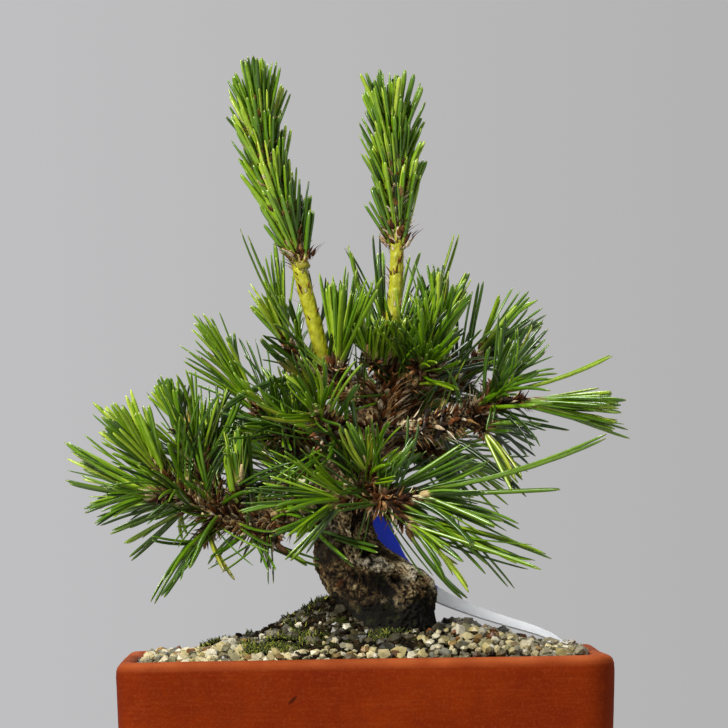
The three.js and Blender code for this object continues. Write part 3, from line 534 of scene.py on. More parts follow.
def damp_earth():
    """Damp bonsai grit and humus: almost black crumbs with tan and mossy flecks."""
    mat, node, where = start_material("damp_grit_and_humus", Roughness=0.92, Specular_IOR_Level=0.08)
    crumb = node("TexNoise", Vector=where, Scale=1 / (2.2 * MM), Detail=4, Roughness=0.7)
    colour = node("ValToRGB", Fac=crumb, stops=[(0.35, "090603"), (0.5, "150f08"), (0.62, "2b2012"),
                                                (0.75, "5b4a2c")])
    green = node("TexNoise", Vector=where, Scale=1 / (5.5 * MM))
    green = node("MapRange", Value=green, From_Min=0.52, From_Max=0.64, To_Max=0.6)
    colour = node("Mix", s0=green, s6=colour, s7="363d14")
    height = node("TexNoise", Vector=where, Scale=1 / (0.8 * MM), Detail=4)
    return finish_material(mat, colour, node("Bump", Height=height, Distance=0.4 * MM, Strength=0.9))


def moss_blade():
    """Living cushion moss: fine soft blades, olive to bright green."""
    mat, node, _ = start_material("cushion_moss", Roughness=0.85)
    tone = node("Attribute", attribute_name="tone")
    return finish_material(mat, node("ValToRGB", Fac=tone, stops=[
        (0.0, "1c2206"), (0.5, "444e0c"), (0.8, "6f7a18"), (1.0, "a39c34")]))


def dull_wire():
    """Annealed aluminium bonsai wire, anodised brown and gone dull."""
    mat, node, where = start_material("brown_anodised_wire", Metallic=0.7, Roughness=0.42)
    dull = node("TexNoise", Vector=where, Scale=1 / (3 * MM))
    return finish_material(mat, node("ValToRGB", Fac=dull, stops=[(0.35, "2c2622"), (0.65, "4b423b")]))


def label_plastic():
    """Flexible polythene plant label: satin white, with a printed royal blue head."""
    mat, node, where = start_material("polythene_label", Roughness=0.35)
    faint = node("TexNoise", Vector=where, Scale=1 / (8 * MM), Detail=2)
    white = node("ValToRGB", Fac=faint, stops=[(0.3, "dfe2e6"), (0.7, "f1f3f5")])
    blue = node("ValToRGB", Fac=faint, stops=[(0.3, "0a2fd0"), (0.7, "0f3df0")])
    colour = node("Mix", s0=node("Attribute", attribute_name="head"), s6=white, s7=blue)
    height = node("TexNoise", Vector=where, Scale=1 / (1.5 * MM), Detail=2)
    return finish_material(mat, colour, node("Bump", Height=height, Distance=0.05 * MM, Strength=0.4))


def plain_plastic():
    """Black moulded polypropylene net."""
    mat, node, where = start_material("black_polypropylene", Roughness=0.55)
    faint = node("TexNoise", Vector=where, Scale=1 / (1.5 * MM), Detail=2)
    return finish_material(mat, node("ValToRGB", Fac=faint, stops=[(0.3, "151716"), (0.7, "222423")]))


def root_bark():
    """Thin root bark, reddish brown and scaly."""
    mat, node, where = start_material("root_bark", Roughness=0.9)
    scaly = node("TexNoise", Vector=where, Scale=1 / (3 * MM), Detail=4)
    colour = node("ValToRGB", Fac=scaly, stops=[(0.3, "3a2616"), (0.7, "6b4a2c")])
    height = node("TexNoise", Vector=where, Scale=1 / (1.5 * MM), Detail=4)
    return finish_material(mat, colour, node("Bump", Height=height, Distance=0.4 * MM, Strength=0.8))


CLAY = fired_clay()
BARK = pine_bark()
GREEN_STEM = candle_skin()
NEEDLE = needle_skin()
SHEATH = paper_scale("needle_sheath", [(0.0, "4a3016"), (0.35, "8a6a3c"), (0.7, "bfa878"), (1.0, "efe6cb")])
BUD_SCALE = paper_scale("bud_scale", [(0.0, "22120a"), (0.35, "4f2a12"), (0.6, "7f4a1f"), (0.8, "b08a55"),
                                      (1.0, "efe2c6")])
STONE = stone_chips()
EARTH = damp_earth()
MOSS = moss_blade()
WIRE = dull_wire()
LABEL = label_plastic()
NET = plain_plastic()
ROOT_BARK = root_bark()


# ---------------------------------------------------------------- the pot

POT_LOW, POT_HIGH = (np.array(v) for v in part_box("pot"))
POT_MIDDLE = (POT_LOW + POT_HIGH) / 2
HALF_X, HALF_Y = ((POT_HIGH - POT_LOW) / 2)[:2]
RIM = POT_HIGH[2]
FOOT_HEIGHT = 5 * MM
WALL = 6 * MM
CORNER = 10 * MM  # radius of the outline's corners
DRAFT = 0.035  # how far the sides lean out for each unit of height
POT_SIDES = 360  # points round the outline
HOLE_X = 32 * MM  # how far each drainage hole is from the middle
HOLE_RADIUS = 8 * MM


def rounded_outline(half_x, half_y, corner, count):
    """Points evenly spread by angle parameter on a rectangle with round corners, anticlockwise.

    Each quarter gives a share of its points to half of each straight side and the rest to the arc."""
    quarter = count // 4
    share = np.arange(quarter) / quarter
    side, arc = 0.36, 0.28
    t_arc = np.clip((share - side) / arc, 0, 1) * np.pi / 2
    up = np.clip(share / side, 0, 1)
    back = 1 - np.clip((share - side - arc) / side, 0, 1)
    x = np.where(share < side, half_x, (half_x - corner) * back + corner * np.cos(t_arc))
    y = np.where(share < side, (half_y - corner) * up, half_y - corner + corner * np.sin(t_arc))
    first = np.stack([x, y], -1)
    # The next quarter starts where this one ends: mirror it across and walk it backwards.
    x = np.where(share < side, -(half_x - corner) * up,
                 -(half_x - corner) - corner * np.sin(t_arc))
    y = np.where(share < side, half_y, (half_y - corner) * back + corner * np.cos(t_arc))
    second = np.stack([x, y], -1)
    return np.concatenate([first, second, -first, -second])


def pot_ring(inset, z):
    """The pot's outline shrunk by inset at height z, a little uneven as a pressed clay pot is."""
    lean = inset + DRAFT * (RIM - z)
    ring = rounded_outline(HALF_X - lean, HALF_Y - lean, max(CORNER - inset, 3 * MM), POT_SIDES)
    return np.concatenate([ring + POT_MIDDLE[:2], np.full((POT_SIDES, 1), z)], 1)


def arc_profile(points, radius, steps=4):
    """A path of (inset, height) points with each inner corner rounded by a quadratic curve."""
    points = np.array(points, float)
    out = [points[:1]]
    for before, at, after in zip(points[:-2], points[1:-1], points[2:]):
        cut_in = min(radius, np.linalg.norm(at - before) * 0.45, np.linalg.norm(after - at) * 0.45)
        a = at + unit(before - at) * cut_in
        b = at + unit(after - at) * cut_in
        t = np.linspace(0, 1, steps + 1)[:, None]
        out.append((1 - t) ** 2 * a + 2 * t * (1 - t) * at + t ** 2 * b)
    return np.concatenate(out + [points[-1:]])


def spread_profile(profile, longest):
    """Adds even points on the long stretches of a profile."""
    out = [profile[:1]]
    for a, b in zip(profile[:-1], profile[1:]):
        steps = max(1, int(math.ceil(np.linalg.norm(b - a) / longest)))
        out.append(a + (b - a) * (np.arange(1, steps + 1) / steps)[:, None])
    return np.concatenate(out)


def make_pot():
    """The wall as one closed ring: a profile of inset and height carried round the rounded outline,
    then the floor as two slabs, each a ring round its drainage hole, and four feet."""
    low = FOOT_HEIGHT
    floor_top = low + 6 * MM
    profile = arc_profile([
        (9.5 * MM, low + 3 * MM), (9.5 * MM, low), (2 * MM, low), (0.0, low + 3.5 * MM),
        (0.0, RIM - 4.4 * MM), (0.12 * MM, RIM - 3.6 * MM), (0.1 * MM, RIM - 2.8 * MM),
        (0.7 * MM, RIM - 1.0 * MM), (2.4 * MM, RIM), (WALL - 1.4 * MM, RIM - 0.1 * MM),
        (WALL, RIM - 1.5 * MM), (WALL, floor_top + 3 * MM), (WALL + 3.5 * MM, floor_top),
        (9.5 * MM, low + 3 * MM)], 1.6 * MM)
    profile = spread_profile(profile, 3 * MM)[:-1]
    rings = np.stack([pot_ring(inset, z) for inset, z in profile])
    wave = layered(rings, 30 * MM, 5, 3)[..., None] * 0.28 * MM
    outward = unit(rings - POT_MIDDLE * [1, 1, 0] - [0, 0, 1] * rings) * [1, 1, 0]
    rim_share = smooth(rings[..., 2:], RIM - 8 * MM, RIM)
    sag = noise(rings * [1, 1, 0], 45 * MM, 8)[..., None] * 0.35 * MM * rim_share * [0, 0, 1]
    rings = rings + outward * wave + sag - [0, 0, 0.3 * MM] * rim_share
    rings += unit(outward + 1e-9) * layered(rings, 1.6 * MM, 21, 2)[..., None] * 0.045 * MM
    # The top 4 mm of the wall and the rim are made lighter: partly rubbed wear, partly painted highlight on
    # the lit rim.
    rim_wear_and_highlight = smooth(rings[..., 2], RIM - 4.0 * MM, RIM - 1.0 * MM) * (0.6 + 0.4 * layered(rings, 6 * MM, 3, 3))
    wall = build("pot_wall", rings.reshape(-1, 3), loop_faces(*rings.shape[:2]), np.zeros((0, 3), int), CLAY,
                 {"rim_wear_and_highlight": rim_wear_and_highlight})
    parts = [wall, *[floor_slab(side, low, floor_top) for side in (-1, 1)]]
    parts += [foot(x, y) for x in (-1, 1) for y in (-1, 1)]
    return piece(joined("clay_pot", parts), "clay", "pot")


def floor_slab(side, low, top):
    """Half of the pot's floor: a closed ring between its round drainage hole and half of the outline."""
    count = 64
    hole_x = HOLE_X * side + POT_MIDDLE[0]
    angle = 2 * np.pi * np.arange(count) / count
    way = np.stack([np.cos(angle), np.sin(angle)], -1)
    reach_x, reach_y = HALF_X - 11.5 * MM, HALF_Y - 11.5 * MM
    half = np.where(way[:, 0] * side > 0, reach_x - HOLE_X, HOLE_X)
    reach = 1 / np.maximum(np.abs(way[:, 0]) / half, np.abs(way[:, 1]) / reach_y)
    rings = []
    for z, share in ((low, 0.0), (low, 0.5), (low, 1.0), (top, 1.0), (top, 0.5), (top, 0.0)):
        distance = HOLE_RADIUS + (reach - HOLE_RADIUS) * share
        place = way * distance[:, None] + [hole_x, POT_MIDDLE[1]]
        rings.append(np.concatenate([place, np.full((count, 1), z)], 1))
    rings = np.stack(rings)
    return build("floor", rings.reshape(-1, 3), loop_faces(*rings.shape[:2]), np.zeros((0, 3), int), CLAY,
                 {"rim_wear_and_highlight": np.zeros(rings.size // 3)}, smooth_shade=False)


def foot(side_x, side_y):
    """A low foot: rounded outlines stacked from the table to the pot's floor."""
    centre = POT_MIDDLE[:2] + [side_x * (HALF_X - 18 * MM), side_y * (HALF_Y - 14 * MM)]
    rings = []
    for grow, z in ((-1.6, 0.0), (-0.9, 0.15), (-0.3, 0.8), (0.0, 2.0), (0.2, 4.0), (0.9, 5.4)):
        ring = rounded_outline(13 * MM + grow * MM, 9 * MM + grow * MM, 4 * MM, 64) + centre
        rings.append(np.concatenate([ring, np.full((64, 1), z * MM)], 1))
    rings = np.stack(rings)
    points = np.concatenate([rings.reshape(-1, 3), [[*centre, 0.0]], [[*centre, 5.4 * MM]]])
    quads, triangles = tube_faces(1, *rings.shape[:2])
    return build("foot", points, quads, triangles, CLAY, {"rim_wear_and_highlight": np.zeros(len(points))})


# ---------------------------------------------------------------- ground

def surface_of(*names):
    """A search tree over CAD nodes, to find the ground's height from above."""
    found = []
    for name in names:
        me = NODES[name].data
        faces = [p.vertices for p in me.polygons]
        found.append(BVHTree.FromPolygons([v.co for v in me.vertices], faces))
    return found


GROUND = surface_of("gravel", "soil")


def ground_height(x, y):
    """Height of the gravel or the mound, whichever is on top."""
    heights = []
    for tree in GROUND:
        hit = tree.ray_cast(Vector((x, y, 0.09)), Vector((0, 0, -1)))[0]
        heights.append(hit.z if hit else -1.0)
    return max(heights)


def crystal():
    """The 12 points and 20 triangles of an icosahedron: two poles and two rings of five between them."""
    angle = 2 * np.pi * np.arange(5) / 5
    flat, high = 2 / math.sqrt(5), 1 / math.sqrt(5)
    ring = lambda turn, z: np.stack(
        [flat * np.cos(angle + turn), flat * np.sin(angle + turn), np.full(5, z)], -1)
    points = np.concatenate([ring(0, -high), ring(np.pi / 5, high), [[0, 0, -1.0]], [[0, 0, 1.0]]])
    j, k = np.arange(5), (np.arange(5) + 1) % 5
    bottom, top = np.full(5, 10), np.full(5, 11)
    faces = [(bottom, k, j), (j, k, j + 5), (k, k + 5, j + 5), (j + 5, k + 5, top)]
    return points, np.concatenate([np.stack(f, -1) for f in faces])


def chips(name, places, sizes, tones, damp_and_shade, seed, material):
    """Many stone chips: each is an icosahedron with every corner pushed about, stretched and turned."""
    rng = np.random.default_rng(seed)
    base, triangles = crystal()
    n = len(places)
    shape = base * rng.uniform(0.82, 1.15, (n, len(base), 1)) + rng.normal(size=(n, len(base), 3)) * 0.08
    shape = shape * rng.uniform(0.72, 1.25, (n, 1, 3))
    turn, _ = np.linalg.qr(rng.normal(size=(n, 3, 3)))
    turn *= np.sign(np.linalg.det(turn))[:, None, None]
    shape = np.einsum("nij,nkj->nki", turn, shape) * [1, 1, 0.85]
    points = shape * sizes[:, None, None] + places[:, None]
    shift = (np.arange(n) * len(base))[:, None, None]
    each = lambda value: np.repeat(value, len(base))
    return build(name, points.reshape(-1, 3), np.zeros((0, 4), int), (triangles[None] + shift).reshape(-1, 3),
                 material, {"tone": each(tones), "damp_and_shade": each(damp_and_shade)}, smooth_shade=False)


def scattered(spacing, margin, seed):
    """Places on the soil: a six-sided grid with each point moved at random, inside the pot's wall."""
    rng = np.random.default_rng(seed)
    x = np.arange(-HALF_X, HALF_X, spacing)
    y = np.arange(-HALF_Y, HALF_Y, spacing * 0.866)
    gx, gy = np.meshgrid(x, y)
    gx = gx + (np.arange(len(y)) % 2)[:, None] * spacing / 2
    spots = np.stack([gx.ravel(), gy.ravel()], -1) + rng.normal(size=(gx.size, 2)) * spacing * 0.2
    inner_x, inner_y = HALF_X - WALL - margin, HALF_Y - WALL - margin
    inside = (np.abs(spots[:, 0]) / inner_x) ** 12 + (np.abs(spots[:, 1]) / inner_y) ** 12 < 1
    return spots[inside] + POT_MIDDLE[:2]


MOUND_MIDDLE = np.array([POT_MIDDLE[0] - 3 * MM, 0.0])
MOUND_HALF = np.array([31 * MM, 29 * MM])
CONE_HALF = np.array([27 * MM, 21 * MM])  # the part of the mound that rises to a peak


def mound_share(spots):
    """Below 1 on the dark mound round the trunk, with a ragged edge."""
    out = np.linalg.norm((spots - MOUND_MIDDLE) / MOUND_HALF, axis=1)
    rough = noise(flatten(spots), 9 * MM, 4)
    return out + 0.13 * rough


def heap(x):
    """How much higher the gravel lies than an even bed: more to the right of the trunk, less far left."""
    across = x - POT_MIDDLE[0]
    more = 2.0 * MM * np.exp(-((across - 34 * MM) / (13 * MM)) ** 2)
    return more - 1.7 * MM * np.exp(-((across + 42 * MM) / (16 * MM)) ** 2)


def make_gravel():
    """Two layers of chips over the gravel's surface. A bed of the same stone, darkened as painted shade,
    closes what shows between.
    """
    rng = np.random.default_rng(11)
    low, top = scattered(3.1 * MM, 1.2 * MM, 1), scattered(3.5 * MM, 1.6 * MM, 2)
    spots = np.concatenate([low, top])
    lift = np.concatenate([np.full(len(low), -1.6 * MM), np.full(len(top), 0.4 * MM)])
    keep = mound_share(spots) > 0.97
    spots, lift = spots[keep], lift[keep]
    n = len(spots)
    z = np.array([ground_height(*spot) for spot in spots]) + lift + rng.normal(size=n) * 0.45 * MM
    z += heap(spots[:, 0])
    sizes = rng.uniform(1.3, 2.2, n) * MM * rng.choice([0.62, 0.9, 1.1], n, p=[0.3, 0.5, 0.2])
    places = np.concatenate([spots, z[:, None]], 1)
    # Damp and dark near the mound and here and there, darker more often towards the right, and the lower
    # layer dark as painted shade in the gaps under the top chips.
    damp_and_shade = smooth(1.45 - mound_share(spots), 0.0, 0.4) * (rng.random(n) < 0.75)
    damp_and_shade = np.maximum(damp_and_shade, rng.random(n) ** 5)
    damp_and_shade = np.maximum(damp_and_shade, 0.75 * smooth(spots[:, 0], 0, 60 * MM) * rng.random(n))
    # The lower layer's darkness is painted shade, not damp.
    damp_and_shade = np.where(lift < 0, 0.8, damp_and_shade)
    stones = chips("gravel_top_dressing", places, sizes, rng.random(n), damp_and_shade, 5, STONE)
    return piece(stones, "gravel", "gravel")


def make_soil():
    """The dark mound: rings round the trunk, each a share of the mound's half size away from its middle and
    as high as mound_height says, with crumbs and a few pale grains lying on it. The first ring is its foot,
    deep in the soil."""
    rings, sides = 125, 370
    share = np.concatenate([[1.6, 1.6], np.linspace(1.6, 0.08, rings - 2)])
    flat = MOUND_MIDDLE + share[:, None, None] * MOUND_HALF * circle(sides)
    z = mound_height(flat)
    z[0] = 30 * MM
    mound_rings = np.concatenate([flat, z[..., None]], -1)
    ends = [mound_rings[0].mean(0), mound_rings[-1].mean(0)]
    points = np.concatenate([mound_rings.reshape(-1, 3), ends])
    quads, triangles = tube_faces(1, rings, sides)
    mound = build("mound", points, quads, triangles, EARTH)
    rng = np.random.default_rng(51)
    n = 3400
    places, _ = strewn(n, 0.05, 1.2, rng)
    grit = chips("crumbs", places, rng.uniform(0.35, 1.1, n) * MM, rng.random(n), np.zeros(n), 52, EARTH)
    n = 900
    places, out = strewn(n, 0.12, 1.1, rng)
    dry = (rng.random(n) < 0.2) & (out > 0.5)
    damp_and_shade = np.where(dry, rng.uniform(0.0, 0.5, n), rng.uniform(0.88, 1.05, n))
    pale = chips("pale_grit", places, rng.uniform(0.6, 1.6, n) * MM, rng.random(n), damp_and_shade, 53, STONE)
    return piece(joined("soil_mound", [mound, grit, pale, soil_block()]), "earth", "soil")


def strewn(count, least, most, rng):
    """Places on the mound, evenly spread between two areas' shares of it, and how far out each lies."""
    turn, out = rng.uniform(0, 2 * np.pi, count), np.sqrt(rng.uniform(least, most, count))
    spots = MOUND_MIDDLE + MOUND_HALF * out[:, None] * np.stack([np.cos(turn), np.sin(turn)], -1)
    return np.concatenate([spots, mound_height(spots)[:, None]], 1), out


def mound_height(spots):
    """The mound's height: a low cone with its peak left of the middle, lumps, and a crumbly surface."""
    flat = flatten(spots)
    out = np.linalg.norm((spots - MOUND_MIDDLE + [4 * MM, 0]) / CONE_HALF, axis=-1)
    away = np.linalg.norm((spots - MOUND_MIDDLE) / MOUND_HALF, axis=-1)
    z = 58.6 * MM + 15.0 * MM * np.maximum(0, 1 - out) - smooth(away, 1.0, 1.6) * 5 * MM
    z = z + layered(flat, 8 * MM, 31, 3) * 2.0 * MM
    crumbs, number = plates(flat, 2.4 * MM, 35)
    small, small_number = plates(flat, 1.1 * MM, 36)
    z = z + smooth(crumbs, 0, 0.35) * (0.5 + number) * MM
    return z + smooth(small, 0, 0.3) * 0.5 * small_number * MM


def soil_block():
    """The soil under the gravel: outlines stacked from the pot's floor to just under the chips."""
    sides = ((9.8, 11.5), (6.5, 15.0), (6.4, 40.0), (6.4, 50.5), (9.0, 51.5), (6.4, 52.0))
    rings = [pot_ring(inset * MM, z * MM) for inset, z in sides]
    bed = rings[-1]
    for share in np.linspace(0.95, 0.35, 14):
        ring = (bed - POT_MIDDLE * [1, 1, 0]) * [share, share, 1] + POT_MIDDLE * [1, 1, 0]
        rise = smooth(1 - share, 0, 0.6) * 7.0 * MM
        ring[:, 2] = 52.0 * MM + rise + layered(ring * [1, 1, 0], 3 * MM, 41, 3) * 0.8 * MM
        ring[:, 2] += np.minimum(heap(ring[:, 0]), 0) * 1.2
        rings.append(ring)
    rings = np.stack(rings)
    centres = [rings[0].mean(0), rings[-1].mean(0)]
    points = np.concatenate([rings.reshape(-1, 3), centres])
    quads, triangles = tube_faces(1, len(rings), POT_SIDES)
    return build("soil_block", points, quads, triangles, EARTH)


# Small tufts of moss in the gravel and on the mound, in mm from the pot's middle.
TUFTS = np.array([[33, 6], [29, -14], [45, 14], [-44, 8], [4, -27], [-14, -3], [-17, -8]])


def make_moss():
    """Moss as crowds of short curved blades on the moss pad, round the mound and in small tufts."""
    rng = np.random.default_rng(23)
    low, high = (np.array(v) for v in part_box("moss"))
    middle, half = (low + high) / 2, (high - low) / 2
    pad = middle[:2] + half[:2] * np.clip(rng.normal(size=(3000, 2)) * 0.5, -1.2, 1.2)
    angle = rng.uniform(0, 2 * np.pi, 6000)
    reach = rng.uniform(0.25, 1.05, 6000)
    around = MOUND_MIDDLE + MOUND_HALF * reach[:, None] * np.stack([np.cos(angle), np.sin(angle)], -1)
    patch = layered(flatten(around), 7 * MM, 77, 3)
    around = around[(patch > 0.3) & (reach > 0.6)]
    small = np.repeat(TUFTS * MM + POT_MIDDLE[:2], 200, axis=0)
    small = small + rng.normal(size=small.shape) * 1.8 * MM
    spots = np.concatenate([pad, around, small])
    z = np.array([ground_height(*spot) for spot in spots])
    on_pad = np.arange(len(spots)) < len(pad)
    dome = np.linalg.norm((spots - middle[:2]) / half[:2], axis=1)
    z = np.where(on_pad, z + 2.4 * MM * np.maximum(0, 1 - dome ** 2), z)
    z += layered(flatten(spots), 5 * MM, 3, 2) * 0.8 * MM
    n = len(spots)
    root = np.concatenate([spots, z[:, None] - 0.2 * MM], 1)
    way = unit(rng.normal(size=(n, 3)) * [0.7, 0.7, 0.25] + [0, 0, 1.0])
    length = rng.uniform(0.8, 1.9, n) * MM
    s = np.linspace(0, 1, 4)
    bend = rng.normal(size=(n, 3)) * 0.25
    rise = way[:, None] * s[:, None] + bend[:, None] * s[:, None] ** 2
    line = root[:, None] + length[:, None, None] * rise
    half_size = np.array([0.26, 0.3, 0.2, 0.05]) * MM
    half_size = np.repeat((half_size * np.ones((n, 1)))[..., None], 2, -1) * [1, 0.5]
    blades = tubes("moss_blades", line, half_size, circle(4), MOSS, unit(rng.normal(size=(n, 3))),
                   {"tone": rng.random(n) ** 1.4})
    return piece(blades, "moss", "moss")


# ---------------------------------------------------------------- wood

def bark_relief(points, size, seed):
    """Height, share that is no crack, and tone of old bark at these places.

    Plates are cells bent by noise, with cracks that come and go. Over them lie torn layers: noise cut
    into even steps with short slopes between, so that each layer ends in an edge. Two sets of ridges, one
    minus the size of noise, lie on top."""
    bent = points + np.stack([layered(points, 6 * MM, seed + k, 4) for k in range(3)], -1) * 2.6 * MM
    border, number = plates(bent * [1, 1, 0.75], size, seed)
    open_crack = smooth(noise(points, size * 1.6, seed + 30), -0.2, 0.4)
    plate_and_shade = 1 - (1 - smooth(border, 0.0, 0.06)) * open_crack
    rise = 3.2 + 3.4 * layered(bent * [1, 1, 0.65], size * 0.75, seed + 60, 4)
    level = np.floor(rise)
    step = (level + smooth(rise - level, 0, 0.18)) / 6
    ridge = 1 - np.abs(layered(bent * [1.3, 1.3, 0.7], size * 0.45, seed + 70, 3)) * 3
    fine = 1 - np.abs(layered(bent * [1, 1, 0.8] + points, size * 0.4, seed + 40, 4)) * 3.5
    height = plate_and_shade * (0.3 + 0.4 * number) + 1.0 * step + 0.22 * ridge + 0.26 * fine
    height += 0.3 * layered(points, size * 0.25, seed, 3)
    # Tone rises with the torn layers and ridges: partly weathering, partly painted highlight on the raised
    # parts.
    tone = 0.08 + 0.75 * step + 0.3 * (number - 0.5) * plate_and_shade + 0.3 * (fine - 0.5) + 0.12 * ridge
    tone += 0.35 * layered(points, 9 * MM, seed + 80, 3)
    return height, plate_and_shade * smooth(fine, -0.6, 0.3), np.clip(tone, 0, 1)


def waves_of(angle):
    """One, then the cosines and the sines of once, twice and three times an angle."""
    times = np.arange(4)
    return np.concatenate([np.cos(angle[:, None] * times), np.sin(angle[:, None] * times[1:])], 1)


def trunk_form():
    """Level cuts up the CAD trunk: the middle of each, and its radius as shares of a few waves of angle."""
    mesh = cad_mesh("trunk")
    low, high = mesh[0][:, 2].min(), mesh[0][:, 2].max()
    centres, waves = [], []
    for z in np.linspace(low + 0.05 * MM, high - 0.3 * MM, 90):
        ring = cut(mesh, 2, z)
        centre = (ring.max(0) + ring.min(0)) / 2
        spoke = ring - centre
        angle = np.arctan2(spoke[:, 1], spoke[:, 0])
        waves.append(np.linalg.lstsq(waves_of(angle), np.hypot(spoke[:, 0], spoke[:, 1]), rcond=None)[0])
        centres.append(centre)
    return softened(np.array(centres), 4), softened(np.array(waves), 4)


def make_trunk():
    """The trunk: the CAD trunk's form, then lumps, a torn ridge with a hollow under it, a shoulder, a knob
    and bark. A vertex is the middle at its height + its radius * (cos, sin)."""
    rings, sides = 300, 280
    share = np.linspace(0, 1, rings)
    centre, wave = (along(values, share) for values in trunk_form())
    angle = 2 * np.pi * np.arange(sides) / sides
    radius = wave @ waves_of(angle).T
    spoke = flatten(circle(sides))
    points = centre[:, None] + radius[..., None] * spoke
    z = points[..., 2]
    # Bumps on the skin: each round a bearing, in half turns, and a level, in mm, with its half sizes there.
    turned = lambda bearing: (angle - bearing * np.pi + np.pi) % (2 * np.pi) - np.pi
    hill = lambda bearing, wide, level, tall: np.exp(
        -(turned(bearing) / wide) ** 2 - ((z / MM - level) / tall) ** 2)
    ridge = hill(1.6, 0.42, 81.2 + 3.5 * turned(1.6), 2.0)
    hollow = np.maximum(hill(1.55, 0.27, 73.6, 4.0), 0.8 * hill(1.68, 0.3, 76.0, 1.8))
    shoulder = hill(1.88, 0.38, 77.0, 4.5)
    knob = hill(1.33, 0.17, 74.0, 2.2)
    radius += (1.7 * ridge - 4.2 * hollow + 1.7 * shoulder + 1.2 * knob) * MM
    radius += layered(points, 11 * MM, 101, 3) * 1.9 * MM
    radius += layered(points, 4.5 * MM, 103, 3) * 0.9 * MM
    height, plate_and_shade, tone = bark_relief(points, 5.5 * MM, 200)
    radius += (height - 1.1) * 1.15 * MM
    radius *= np.sqrt(np.clip((1 - share) / 0.02, 0.05, 1))[:, None]
    damp_and_shade = smooth(73.5 * MM - z + layered(points, 6 * MM, 9, 3) * 6 * MM, 0, 5 * MM)
    damp_and_shade = np.maximum(damp_and_shade, 0.8 * smooth(layered(points, 7 * MM, 12, 3), 0.12, 0.4))
    # The ridge, shoulder and knob are made paler and kept free of the damp darkening: partly weathered bark,
    # partly painted highlight where the light falls on them.
    tone = np.clip(tone + 0.8 * ridge + 0.55 * shoulder + 0.6 * knob - 0.07, 0, 1)
    damp_and_shade *= 1 - np.maximum(ridge, np.maximum(knob, 0.8 * shoulder))
    # The hollow under the ridge is dented and also painted near black: painted shade.
    painted_hollow_shade = np.clip(1.3 * hollow, 0, 1)
    points = centre[:, None] + radius[..., None] * spoke
    points = np.concatenate([points.reshape(-1, 3), centre[:1], centre[-1:]])
    quads, triangles = tube_faces(1, rings, sides)
    spread = {key: np.append(value.ravel(), [value[0, 0], value[-1, 0]])
              for key, value in (("plate_and_shade", plate_and_shade * (1 - painted_hollow_shade)), ("tone", tone), ("damp_and_shade", damp_and_shade))}
    trunk = build("trunk_bark", points, quads, triangles, BARK, spread, strips(1, rings, sides))
    # Old scales crowd the crown, where the branches leave.
    rng = np.random.default_rng(77)
    crown = np.flatnonzero(z[:, 0] > 112 * MM)
    ring, side = crown[rng.integers(0, len(crown), 420)], rng.integers(0, sides, 420)
    places, out = points[ring * sides + side], spoke[side]
    litter = scales("crown_litter", places - out * 0.5 * MM, unit(out * 0.9 + [0, 0, 0.8]), out, rng,
                    (2.0, 5.0), 0.6, (0.15, 1.0))
    return piece(joined("trunk_wood", [trunk, litter]), "bark", "trunk")


# The axis square to the cuts that give each limb's middle line.
LIMB_AXIS = {
    "branch_left": 0, "twig_left_riser": 2, "branch_left_high": 0, "branch_left_crown": 0,
    "branch_right_crown": 0, "branch_right": 0, "branch_right_back": 0, "branch_front_low": 1,
    "branch_front": 1, "branch_back_left": 1, "branch_back_right": 1,
}
LIMBS = {}  # each limb's middle line and radius


def limb_line(name):
    """A branch's middle line from its root, carried a little into what it grows from and past its tip."""
    line, radius = midline(name, LIMB_AXIS[name])
    trunk = np.array([POT_MIDDLE[0], 0, 0.105])
    if np.linalg.norm(line[0] - trunk) > np.linalg.norm(line[-1] - trunk):
        line, radius = line[::-1], radius[::-1]
    first, last = unit(line[0] - line[2]), unit(line[-1] - line[-3])
    line = np.concatenate([[line[0] + first * 3 * MM], line, [line[-1] + last * 0.9 * MM]])
    return line, np.concatenate([radius[:1], radius, radius[-1:] * 0.6])


def make_branch(name, seed):
    """A branch: its CAD middle line and radius as a skin, with knots, lumps and bark."""
    line, thick = LIMBS[name]
    length = np.linalg.norm(np.diff(line, axis=0), axis=1).sum()
    rings, sides = int(length / (0.28 * MM)), 84
    share = np.linspace(0, 1, rings)
    centre, girth = along(line, share), along(thick[:, None], share)
    centre = centre + np.stack([noise(centre, 9 * MM, seed + k) for k in range(3)], -1) * 0.5 * MM
    facing = (0.31, 0.9, 0.3) if LIMB_AXIS[name] != 1 else (0.9, 0.1, 0.4)
    radius = girth * np.ones((1, sides))
    points = skin_points(centre, radius, facing)
    radius = radius * (1 + 0.16 * layered(points, 6 * MM, seed, 3))
    height, plate_and_shade, tone = bark_relief(points, 3 * MM, seed)
    radius += (height - 1.1) * 0.6 * MM
    radius *= np.sqrt(np.clip((1 - share) / 0.04, 0.04, 1))[:, None]
    ob = skin(f"{name}_bark", centre, radius, BARK, facing,
              {"plate_and_shade": plate_and_shade, "tone": np.clip(tone * 0.95, 0, 1), "damp_and_shade": np.zeros_like(tone)})
    # Scales and old sheaths left on the wood, thicker towards the tip.
    rng = np.random.default_rng(seed + 50)
    count = int(length / MM * 7)
    ring = (rings * (0.12 + 0.85 * rng.random(count) ** 0.8)).astype(int)
    out = unit(points[ring, rng.integers(0, sides, count)] - centre[ring])
    ahead = unit(np.gradient(centre, axis=0))[ring]
    places = centre[ring] + out * (girth[ring] + 0.1 * MM)
    litter = scales(f"{name}_litter", places, unit(ahead * 0.7 + out * 0.7), out, rng, (1.6, 4.2), 0.8)
    return piece(joined(f"{name}_wood", [ob, litter]), "bark", name)


# ---------------------------------------------------------------- needles

